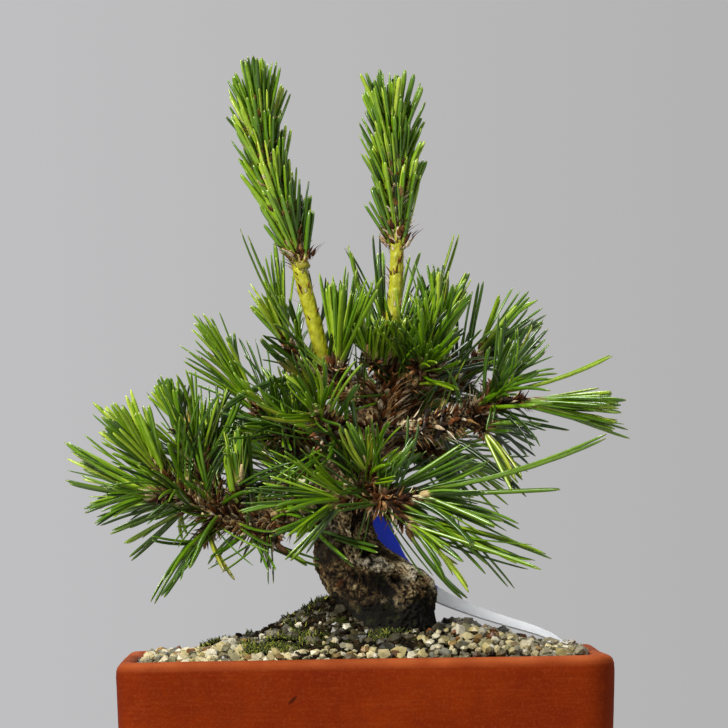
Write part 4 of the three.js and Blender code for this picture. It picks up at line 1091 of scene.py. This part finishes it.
NEEDLE_WIDTH = 0.62 * MM  # half width
REACH = np.array([0, 0.1, 0.26, 0.44, 0.62, 0.78, 0.89, 0.955, 1.0])
TAPER = np.array([0.85, 1.0, 1.0, 1.0, 1.0, 0.98, 0.9, 0.7, 0.28])
HALF_ROUND = np.array([[1.0, 0.0], [0.6, 0.75], [-0.6, 0.75], [-1.0, 0.0], [0.0, -0.3]])

# How many pairs of needles a shoot has. The others have 32 where young and 23 where old.
FEWER = {"right_tip": 25, "left_under": 7, "left_inner": 3, "front_low": 9, "centre_left": 14,
         "right_under": 14, "left_low": 18, "front_left": 18, "right_upper": 16, "right_outer": 15,
         "front_right": 17}
# Shoots of this year: short straight bright needles that stand together. All others carry last year's
# needles, which are longer, darker, bent and fewer.
YOUNG = ("left_tip", "left_riser", "left_upright", "crown_left", "crown_centre", "crown_right",
         "right_tip", "candle_base")
# Bunches that a shoot's few CAD spikes leave out: how many pairs, which way, and their lengths in mm.
MORE = {
    "candle_base": (10, (-0.05, -0.05, 1.0), (22, 31)), "left_low": (8, (-0.9, -0.1, 0.4), (25, 30)),
    "centre_left": (9, (-0.5, 0.0, 0.85), (28, 33)), "crown_left": (7, (-0.1, -0.1, 0.9), (20, 27)),
    "front_low": (5, (0.92, -0.1, -0.3), (36, 42)), "crown_back": (6, (-0.14, 0.1, 1.0), (30, 38)),
}


def mixed_needles(feet, tips, count, rng, scatter, shortest):
    """New needles between the CAD ones: each mixes two that point alike, then strays a little.

    Gives the ways and the lengths."""
    way = tips - feet
    length = np.linalg.norm(way, axis=1)
    way = unit(way)
    a = rng.integers(0, len(feet), count)
    alike = way[a] @ way.T + rng.random((count, len(feet))) * 0.25
    alike[np.arange(count), a] = -9
    b = alike.argmax(1)
    w = rng.uniform(-0.3, 0.8, count)
    new_way = unit(way[a] * (1 - w)[:, None] + way[b] * w[:, None] + rng.normal(size=(count, 3)) * scatter)
    new_length = (length[a] * (1 - w) + length[b] * w) * rng.uniform(shortest, 1.05, count)
    return new_way, new_length


def needle_set(name, foot, way, length, rng, bend=0.1, droop=0.05, tone=0.45, spread=0.2, dry=None, thick=1.0,
               bow=0.0, apart=(0.01, 0.085)):
    """Needles in pairs.

    A needle's middle line is foot + length * (way * s + curve * s^2), s from 0 to 1, and its section is a
    half round that tapers to a blunt point. Each pair shares a foot and stands apart by an angle, in radians,
    within the range apart. A bow, one number or one a pair, lifts the middle of a needle by
    length * bow * (s - s^2) and leaves its tip in place."""
    n = len(foot)
    side = unit(np.cross(way, unit(rng.normal(size=(n, 3)))))
    face = np.cross(side, way)
    curve = side * rng.normal(size=(n, 1)) * bend + face * rng.normal(size=(n, 1)) * bend
    curve[:, 2] -= droop * rng.uniform(0, 1, n)
    feet, ways, lengths, curves, faces = [], [], [], [], []
    for sign in (-1, 1):
        feet.append(foot + side * sign * 0.3 * MM)
        opened = rng.uniform(*apart, (n, 1)) * sign
        ways.append(unit(way + side * opened + face * rng.normal(size=(n, 1)) * 0.02))
        lengths.append(length * rng.uniform(0.92, 1.02, n))
        curves.append(curve * rng.uniform(0.7, 1.3, (n, 1)))
        faces.append(side * sign)
    foot2, way2, length2, curve2, facing = (np.concatenate(x) for x in (feet, ways, lengths, curves, faces))
    s = REACH[:, None]
    line = foot2[:, None] + length2[:, None, None] * (way2[:, None] * s + curve2[:, None] * s ** 2)
    bows = np.tile(np.broadcast_to(np.reshape(bow, (-1, 1)), (n, 1)), (2, 1))
    line[..., 2] += bows * length2[:, None] * (REACH - REACH ** 2)
    width = NEEDLE_WIDTH * thick * rng.uniform(0.82, 1.12, 2 * n)
    half = width[:, None, None] * TAPER[None, :, None] * [1.0, 0.78]
    tones = np.tile(rng.normal(tone, spread, n), 2) + rng.normal(size=2 * n) * 0.08
    values = {"tone": np.clip(tones, 0, 1), "reach": np.broadcast_to(REACH, (2 * n, len(REACH))),
              "dry": np.tile(np.zeros(n) if dry is None else dry, 2)}
    return tubes(name, line, half, HALF_ROUND, NEEDLE, facing, values)


def sheaths(name, foot, way, rng, length_mm=(2.5, 5.0)):
    """The papery sheath round the foot of each pair: a short tube, ragged at its end."""
    n = len(foot)
    s = np.array([-0.12, 0.15, 0.6, 1.0])
    length = rng.uniform(*length_mm, n) * MM
    line = foot[:, None] + way[:, None] * (s[:, None] * length[:, None, None])
    swell = np.array([0.75, 1.05, 0.98, 0.75]) * 0.82 * MM
    half = (swell * rng.uniform(0.8, 1.2, (n, 1)))[..., None] * [1.0, 1.0]
    return tubes(name, line, half, circle(6), SHEATH, unit(rng.normal(size=(n, 3))),
                 {"tone": rng.random(n) ** 1.7})


def scales(name, places, ways, outward, rng, length_mm=(1.4, 3.4), bright=1.2, tones=(0.0, 1.0),
           wide=1.0):
    """Dry bud scales: thin pointed leaves that lie along a shoot and curl away at the tip. A bright below 1
    makes more of them pale."""
    n = len(places)
    s = np.linspace(0, 1, 5)[:, None]
    length = (rng.uniform(*length_mm, n) * MM)[:, None, None]
    curl = rng.uniform(0.05, 0.9, (n, 1, 1))
    line = places[:, None] + length * (ways[:, None] * s + outward[:, None] * curl * s ** 2)
    shape = np.array([0.6, 1.0, 0.95, 0.65, 0.12])
    half = (shape * rng.uniform(0.3, 0.85, (n, 1)) * wide * MM)[..., None] * [1.0, 0.2]
    tone = tones[0] + (tones[1] - tones[0]) * rng.random(n) ** bright
    return tubes(name, line, half, circle(6), BUD_SCALE, outward, {"tone": tone})


def wood_near(spot, reach, count, rng):
    """Places on the skin of the branch nearest to a spot, within this reach of it, and the way out there."""
    best = None
    for line, thick in LIMBS.values():
        dense, girth = along(line, np.linspace(0, 1, 80)), along(thick[:, None], np.linspace(0, 1, 80))
        distance = np.linalg.norm(dense - spot, axis=1)
        if best is None or distance.min() < best[0]:
            best = distance.min(), dense, girth, np.gradient(dense, axis=0), distance
    _, dense, girth, tangent, distance = best
    near = np.flatnonzero(distance < distance.min() + reach)
    pick = near[rng.integers(0, len(near), count)]
    out = unit(np.cross(tangent[pick], rng.normal(size=(count, 3))))
    return dense[pick] + out * girth[pick] * 0.9, out, dense[distance.argmin()]


STEMS_SEEN = (145 * MM, 157 * MM)  # the left and right candle's stem is bare in front above this


def off_the_stems(foot, way, length):
    """True for needles that don't cross in front of a candle's bare stem."""
    clear = np.ones(len(foot), bool)
    for stem, bare_from in zip(CANDLE_STEMS, STEMS_SEEN):
        for share in (0.25, 0.5, 0.75, 1.0):
            spot = foot + way * (length * share)[:, None]
            at = np.stack([np.interp(spot[:, 2], stem[:, 2], stem[:, k], -9, -9) for k in range(2)], -1)
            aside = np.abs(spot[:, 0] - at[:, 0]) > 3.5 * MM
            clear &= aside | (spot[:, 1] > at[:, 1]) | (spot[:, 2] < bare_from)
    return clear


# The lowest and the highest X and Z of the wood that shows from the front.
BARE = np.array([[7, 117], [40, 137]]) * MM


def off_the_wood(foot, way, length, rng):
    """True for needles that don't hide the bare wood at the tree's middle, and for one in five that do."""
    clear = rng.random(len(foot)) < 0.2
    before = np.zeros(len(foot), bool)
    for share in (0.3, 0.5, 0.75, 1.0):
        spot = foot + way * (length * share)[:, None]
        inside = ((spot[:, [0, 2]] > BARE[0]) & (spot[:, [0, 2]] < BARE[1])).all(1)
        before |= inside & (spot[:, 1] < -3 * MM)
    return clear | ~before


def make_shoot(name, number):
    """One shoot: a scaly stub with its needles. The CAD spikes say where the needles point."""
    rng = np.random.default_rng(1000 + number)
    short_name = name.removeprefix("shoot_")
    young = short_name in YOUNG
    feet, tips = spikes(name)
    length = np.linalg.norm(tips - feet, axis=1)
    odd = length > 1.22 * np.median(length)
    middle = feet[~odd].mean(0)
    axis = unit(unit(tips - feet)[~odd].mean(0))
    skin_spots, out, start = wood_near(middle, 11 * MM, 14, rng)
    end = middle + axis * 2.2 * MM
    stub = unit(end - start)

    pairs = FEWER.get(short_name, 32 if young else 23)
    stray = (0.07, 0.8) if young else (0.2, 0.6)
    way, new_length = mixed_needles(feet[~odd], tips[~odd], pairs, rng, *stray)
    if short_name in MORE:
        count, lie, sizes = MORE[short_name]
        way = np.concatenate([way, unit(np.array(lie) + rng.normal(size=(count, 3)) * 0.08)])
        new_length = np.concatenate([new_length, rng.uniform(*sizes, count) * MM])
    hub = np.broadcast_to(middle, way.shape)
    clear = off_the_stems(hub, way, new_length) & off_the_wood(hub, way, new_length, rng)
    way, new_length = way[clear], new_length[clear]
    # Every foot sits on the stub's own line, those that lean least nearest its end.
    lean = np.clip((way @ stub + 0.2) / 1.2, 0, 1)
    share = np.clip(0.35 + 0.6 * lean + rng.normal(size=len(way)) * 0.25, 0.05, 1.15)
    foot = start + (end - start) * share[:, None] + unit(np.cross(way, stub)) * 0.5 * MM + way * 0.8 * MM
    dry = (rng.random(len(foot)) < 0.03) * rng.uniform(0.2, 0.6, len(foot))
    parts = [needle_set(f"{name}_n", foot, way, new_length, rng, bend=0.03 if young else 0.13,
                        droop=0.0 if young else 0.08, tone=0.64 if young else 0.5, dry=dry,
                        thick=1.12 if young else 0.95),
             sheaths(f"{name}_s", foot, way, rng)]
    if odd.any():
        # The few long needles stand where the CAD has them, and sag on their way up to the tip.
        reach = unit(tips - feet)[odd]
        parts.append(needle_set(f"{name}_l", feet[odd], reach, length[odd], rng, bend=0.0, droop=0.0,
                                tone=0.33, bow=-0.7 * reach[:, 2, None], dry=np.full(odd.sum(), 0.06),
                                thick=1.0, apart=(0.005, 0.03)))
    # Old needles from the bare wood round about, which hide it.
    stray = unit(out + axis * 0.7 + [0, -0.15, 0.35] + rng.normal(size=out.shape) * 0.25)
    stray = unit(np.maximum(stray, [-1, -1, -0.3]))
    reach = rng.uniform(14, 32, len(stray)) * MM
    clear = off_the_stems(skin_spots, stray, reach) & off_the_wood(skin_spots, stray, reach, rng)
    skin_spots, stray, reach = skin_spots[clear], stray[clear], reach[clear]
    dry = (rng.random(len(stray)) < 0.03) * rng.uniform(0.4, 1.0, len(stray))
    parts += [needle_set(f"{name}_o", skin_spots, stray, reach, rng, bend=0.17, droop=0.1, tone=0.36, dry=dry,
                         thick=0.92),
              sheaths(f"{name}_p", skin_spots, stray, rng)]
    count = 90
    t = rng.uniform(-0.3, 0.95, count)[:, None]
    around = unit(np.cross(stub, rng.normal(size=(count, 3))))
    girth = np.clip(2.1 - 0.9 * t, 0.8, 2.3) * MM * rng.uniform(0.75, 1.1, (count, 1))
    places = start + (end - start) * t + around * girth
    parts.append(scales(f"{name}_b", places, unit(stub + around * 0.6), around, rng))
    stub_line = start + (end - start) * np.linspace(0, 1.0, 12)[:, None]
    girth = np.interp(np.linspace(0, 1, 12), [0, 0.6, 1], [2.1, 1.8, 0.9])[:, None] * MM * np.ones((1, 20))
    relief = layered(skin_points(stub_line, girth, (0.3, 0.2, 0.93)), 2 * MM, 7 + number, 2)
    tone = 0.3 + 0.3 * relief
    parts.append(skin(f"{name}_w", stub_line, girth * (1 + 0.2 * relief), BARK, (0.31, 0.2, 0.93),
                      {"plate_and_shade": np.full_like(tone, 0.8), "tone": tone, "damp_and_shade": np.zeros_like(tone)}))
    return piece(joined(name.replace("shoot", "foliage"), parts), "needles", name)


# By how much, in mm, a candle bows in X halfway up and at its top, and how far down its stem needles grow.
SWAY = {"left": (0.0, 1.4, 7.0), "right": (1.5, -2.6, 4.5)}
CANDLE_FACING = (0.3, 0.9, 0.1)  # well across both candles, so that no ring of their skins twists


def make_candle(side, seed):
    """A tall candle: its bare green stem, then needle pairs set round it nearly to the top, where they end
    as a broad flat brush."""
    rng = np.random.default_rng(seed)
    line, radius = make_bare_stem(side, seed, rng)
    return make_brush(side, seed, line, radius, rng)


def make_bare_stem(side, seed, rng):
    """The CAD stem's middle line, carried a little past both ends, as a skin with low knobs and brown
    remnants of scales. Gives the line and its radius."""
    line, radius = midline(f"candle_{side}_stem", 2, 30)
    first, last = unit(line[0] - line[2]), unit(line[-1] - line[-3])
    line = np.concatenate([[line[0] + first * 2 * MM], line, [line[-1] + last * 2.5 * MM]])
    radius = np.concatenate([radius[:1], radius, radius[-1:]])
    share = np.linspace(0, 1, 260)
    centre = along(line, share)
    girth = 0.86 * along(radius[:, None], share) * np.ones((1, 60))
    points = skin_points(centre, girth, CANDLE_FACING)
    knob, _ = plates(points * [1, 1, 0.4], 1.5 * MM, seed)
    girth += smooth(knob, 0.02, 0.2) * 0.12 * MM + layered(points, 5 * MM, seed, 3) * 0.22 * MM
    brown = smooth(layered(points, 3 * MM, seed + 5, 3), 0.3, 0.5) * 0.4
    brown = np.maximum(brown, 1 - smooth(share, 0.0, 0.12)[:, None])
    stem = skin(f"candle_{side}_skin", centre, girth, GREEN_STEM, CANDLE_FACING, {"tone": brown})
    count = 44
    t = rng.uniform(0.02, 1.0, count) ** 0.4
    around = unit(np.cross(last, rng.normal(size=(count, 3))))
    places = along(line, t) + around * along(radius[:, None], t) * 0.9
    tufts = scales(f"candle_{side}_remnants", places, unit(around * 0.25 + last), around, rng, (1.2, 3.0),
                   1.0, (0.4, 1.0), 0.55)
    piece(joined(f"candle_{side}_bare_stem", [stem, tufts]), "green_wood", f"candle_{side}_stem")
    return line, radius


def make_brush(side, seed, stem_line, stem_radius, rng):
    """The part with needles: a core that goes on from the stem, a curve fitted to the feet of the CAD
    needles, and pairs set round it a golden angle apart, leaning out from the way the CAD needles lie."""
    feet, tips = spikes(f"candle_{side}_needles")
    low, high = (v[2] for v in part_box(f"candle_{side}_needles"))
    bulge, sway, down = SWAY[side]
    low, high = low - down * MM, high - 1.8 * MM
    z = np.concatenate([[stem_line[-1][2]], feet[:, 2]])
    curve = [np.polyfit(z, np.append(stem_line[-1][k], feet[:, k]), 2) for k in range(2)]
    fitted = lambda height: np.stack([*(np.polyval(axis, height) for axis in curve), height], -1)
    gap = stem_line[-1] - fitted(z[0])

    def core(height):
        """The core's points at these heights: it starts at the stem's end and bows as SWAY says."""
        up = np.clip((height - z[0]) / (high - z[0]), 0, 1)
        spots = fitted(height) + gap * np.exp(-(height[:, None] - z[0]) / (14 * MM))
        spots[:, 0] += (bulge * 4 * up * (1 - up) + sway * up ** 2) * MM
        return spots

    top = high - 15.5 * MM
    line = core(np.linspace(low - 1 * MM, top, 40))
    radius = np.linspace(0.84 * stem_radius[-1], 1.6 * MM, 40)[:, None] * np.ones((1, 24))
    blotch = layered(skin_points(line, radius, CANDLE_FACING), 3 * MM, seed, 3)
    spine = skin(f"candle_{side}_spine", line, radius, GREEN_STEM, CANDLE_FACING,
                 {"tone": np.clip(0.55 + 0.9 * blotch, 0, 1)})
    pairs = 132
    share = ((np.arange(pairs) + rng.random(pairs)) / pairs) ** 0.85
    height = low + (top - low) * share
    turn = np.arange(pairs) * np.pi * (3 - math.sqrt(5))
    ahead = along(unit(np.gradient(line, axis=0)), share)
    axis = unit(ahead * 0.35 + unit(unit(tips - feet).mean(0)) * 0.65)
    right = unit(np.cross(axis, [0.1, 1.0, 0.05]))
    around = right * np.cos(turn)[:, None] + np.cross(axis, right) * np.sin(turn)[:, None]
    lean = np.radians(rng.uniform(9, 25, pairs) + 5 * (share < 0.12))
    lean = np.where(share > 0.93, lean * rng.uniform(0, 1, pairs), lean)[:, None]
    way = unit(axis * np.cos(lean) + around * np.sin(lean) + rng.normal(size=(pairs, 3)) * 0.035)
    foot = core(height) + around * 1.9 * MM
    length = np.minimum(rng.uniform(14.5, 19.0, pairs) * MM, (high - height) / way[:, 2])
    needles = needle_set(f"candle_{side}_n", foot, way, length, rng, bend=0.03, droop=0.0, tone=0.62,
                         thick=1.22)
    wraps = sheaths(f"candle_{side}_s", foot, way, rng, (2.0, 3.6))
    # Three scales a pair, and four more for each of the lowest, which make a ragged collar.
    spots = np.concatenate([np.repeat(np.arange(pairs), 3), np.repeat(np.arange(14), 4)])
    places = core(height)[spots] + around[spots] * 2.5 * MM + rng.normal(size=(len(spots), 3)) * 0.8 * MM
    flecks = scales(f"candle_{side}_f", places, unit(axis + around * 0.5)[spots], around[spots], rng,
                    (1.6, 3.4), 1.0, (0.2, 1.0))
    return piece(joined(f"candle_{side}_top", [needles, wraps, flecks, spine]), "needles",
                 f"candle_{side}_needles")


# ---------------------------------------------------------------- wire, label and what is hidden

def make_wire():
    """The training wire: a straight lead from the front of the trunk, then a helix of two turns round the
    right branch's own middle line, softened where they meet."""
    line, thick = LIMBS["branch_right"]
    low, high = (np.array(v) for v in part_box("training_wire"))
    turn = np.linspace(0, 2, 120)
    x = np.linspace(low[0] + 17 * MM, high[0] - 1 * MM, 120)
    y, z = (np.interp(x, line[:, 0], line[:, k]) for k in (1, 2))
    reach = np.interp(x, line[:, 0], thick) + 1.15 * MM
    angle = np.radians(-150) - 2 * np.pi * turn
    helix = np.stack([x, y + reach * np.cos(angle), z + reach * np.sin(angle)], -1)
    lead = [low[0], low[1], 118 * MM] + np.array([[0, 0.6, 0], [5, 0.6, 0.6], [10, 1.2, 1.4]]) * MM
    path = softened(np.concatenate([along(lead, np.linspace(0, 1, 24)), helix]), 6)
    half = np.full((1, len(path), 2), 0.6 * MM)
    ob = tubes("training_wire_coil", path[None], half, circle(12), WIRE, np.array([[0.2, 0.3, 0.9]]))
    return piece(ob, "wire", "training_wire")


def make_label():
    """The label: the CAD strip's middle line and width, cut at even steps, as a thin rounded band."""
    mesh = cad_mesh("plant_label")
    low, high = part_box("plant_label")
    centres, widths = [], []
    for place in np.linspace(low[0] + 0.8 * MM, high[0] - 0.8 * MM, 40):
        ring = cut(mesh, 0, place)
        centre = (ring.max(0) + ring.min(0)) / 2
        spoke = ring - centre
        centres.append(centre)
        widths.append(spoke[np.linalg.norm(spoke, axis=1).argmax()])
    centres = softened(np.array(centres), 3)
    # It bows a little to the left where it passes behind the trunk.
    centres[:, 0] -= 1.9 * MM * np.exp(-((centres[:, 2] - 76 * MM) / (8 * MM)) ** 2)
    widths = np.array(widths)
    widths = widths * np.sign(widths[:, 1:2])
    widths = softened(widths, 3)
    share = np.linspace(0, 1, 160)
    centre, width = along(centres, share), along(widths, share)
    tangent = unit(np.gradient(centre, axis=0))
    width = width - (width * tangent).sum(1, keepdims=True) * tangent
    half_width = np.linalg.norm(width, axis=1)
    across = unit(width)
    over = np.cross(tangent, across)
    outline = circle(20)
    outline = np.sign(outline) * np.abs(outline) ** 0.35  # nearly a rectangle
    offset = (across[:, None] * (outline[:, :1] * half_width[:, None, None])
              + over[:, None] * outline[None, :, 1:] * 0.32 * MM)
    rings = centre[:, None] + offset
    points = np.concatenate([rings.reshape(-1, 3), centre[:1], centre[-1:]])
    quads, triangles = tube_faces(1, 160, 20)
    head = smooth(centre[:, 2], 71.5 * MM, 72 * MM)
    values = {"head": per_vertex(head[None], 1, 160, 20)}
    ob = build("plant_label_strip", points, quads, triangles, LABEL, values, strips(1, 160, 20))
    return piece(ob, "label_plastic", "plant_label")


def dress_hidden():
    """New finishes for the CAD pieces that stay: the drainage nets, their clips and the roots."""
    for name, material in (("drain_mesh_left", NET), ("drain_mesh_right", NET), ("mesh_clip_left", WIRE),
                           ("mesh_clip_right", WIRE), ("roots", ROOT_BARK)):
        NODES[name].data.materials.clear()
        NODES[name].data.materials.append(material)


# ---------------------------------------------------------------- light, floor and camera

def area_light(name, place, aim, size, power, colour):
    """A round soft light of this size at a place, turned to an aim, of this many watts."""
    data = bpy.data.lights.new(name, "AREA")
    data.shape = "DISK"
    data.size = size
    data.energy = power
    data.color = linear(colour)[:3]
    ob = bpy.data.objects.new(name, data)
    bpy.context.scene.collection.objects.link(ob)
    ob.location = place
    ob.rotation_euler = (Vector(aim) - Vector(place)).to_track_quat("-Z", "Y").to_euler()


ROOM = 0.5  # the unlit part of the surround against the lit card behind the tree


def make_studio():
    """A pale floor disc before a lit grey card, in a darker room, with a soft light from the upper left."""
    mat, node, where = start_material("pale_card", Roughness=0.9)
    faint = node("TexNoise", Vector=where, Scale=1 / (60 * MM))
    finish_material(mat, node("ValToRGB", Fac=faint, stops=[(0.3, "a6a6a5"), (0.7, "acacab")]))
    sides, thick = 96, [0, 0, 4 * MM]
    disc = flatten(0.55 * circle(sides))
    points = np.concatenate([disc - thick, disc, [[0, 0, -4 * MM], [0, 0, 0]]])
    quads, triangles = tube_faces(1, 2, sides)
    build("floor_disc", points, quads, triangles, mat, smooth_shade=False)

    world = bpy.data.worlds.new("surround")
    bpy.context.scene.world = world
    world.use_nodes = True
    tree = world.node_tree
    way = add(tree, "TexCoord", output="Generated")
    across, deep = (add(tree, "SeparateXYZ", Vector=way, output=axis) for axis in ("X", "Y"))
    across = add(tree, "MapRange", Value=across, From_Min=-0.08, From_Max=0.08)
    card = add(tree, "ValToRGB", Fac=across, stops=[(0.0, "c1c1c3"), (1.0, "b4b3b3")])
    tree.links.new(card, tree.nodes["Background"].inputs["Color"])
    lit = add(tree, "MapRange", Value=deep, From_Min=0.2, From_Max=0.95, To_Min=ROOM)
    tree.links.new(lit, tree.nodes["Background"].inputs["Strength"])
    area_light("key", (-0.75, -0.9, 0.92), (0, 0, 0.12), 0.3, 31.0, "fffdf6")
    area_light("fill", (0.9, -0.9, 0.35), (0, 0, 0.11), 0.8, 2.6, "f6f9ff")
    area_light("top", (0.1, 0.35, 1.2), (0, 0, 0.12), 0.5, 13.0, "ffffff")
    bpy.context.scene.view_settings.view_transform = "Standard"


def make_camera():
    """A long lens a metre and a half away, a little left of the front and above the rim, looking up a bit."""
    yaw, pitch, roll = math.radians(0.8), math.radians(1.5), math.radians(-0.9)
    distance = 1.5
    data = bpy.data.cameras.new("camera")
    data.sensor_width = 36.0
    data.lens = 250.5
    data.clip_start, data.clip_end = 0.05, 20.0
    ob = bpy.data.objects.new("camera", data)
    bpy.context.scene.collection.objects.link(ob)
    aim = Vector((POT_MIDDLE[0] + 1.6 * MM, 0.0, 140.2 * MM))
    back = Vector((-math.sin(yaw) * math.cos(pitch), -math.cos(yaw) * math.cos(pitch), -math.sin(pitch)))
    turn = (-back).to_track_quat("-Z", "Y").to_matrix() @ Matrix.Rotation(roll, 3, "Z")
    ob.matrix_world = Matrix.Translation(aim + back * distance) @ turn.to_4x4()
    bpy.context.scene.camera = ob


# ---------------------------------------------------------------- assembly

make_studio()
make_camera()
make_pot()
make_gravel()
make_soil()
make_moss()
make_trunk()
for limb in LIMB_AXIS:
    LIMBS[limb] = limb_line(limb)
for order, limb in enumerate(LIMB_AXIS):
    make_branch(limb, 300 + 7 * order)
make_wire()
make_label()
dress_hidden()
trunk_line, trunk_girth = midline("trunk", 2, 40, 0.02)
upper = trunk_line[:, 2] > 105 * MM
LIMBS["trunk"] = trunk_line[upper], trunk_girth[upper]
CANDLE_STEMS = [midline(f"candle_{side}_stem", 2)[0] for side in ("left", "right")]
for order, shoot in enumerate(sorted(n for n in NODES if n.startswith("shoot_"))):
    make_shoot(shoot, order)
for order, side in enumerate(("left", "right")):
    make_candle(side, 500 + order)
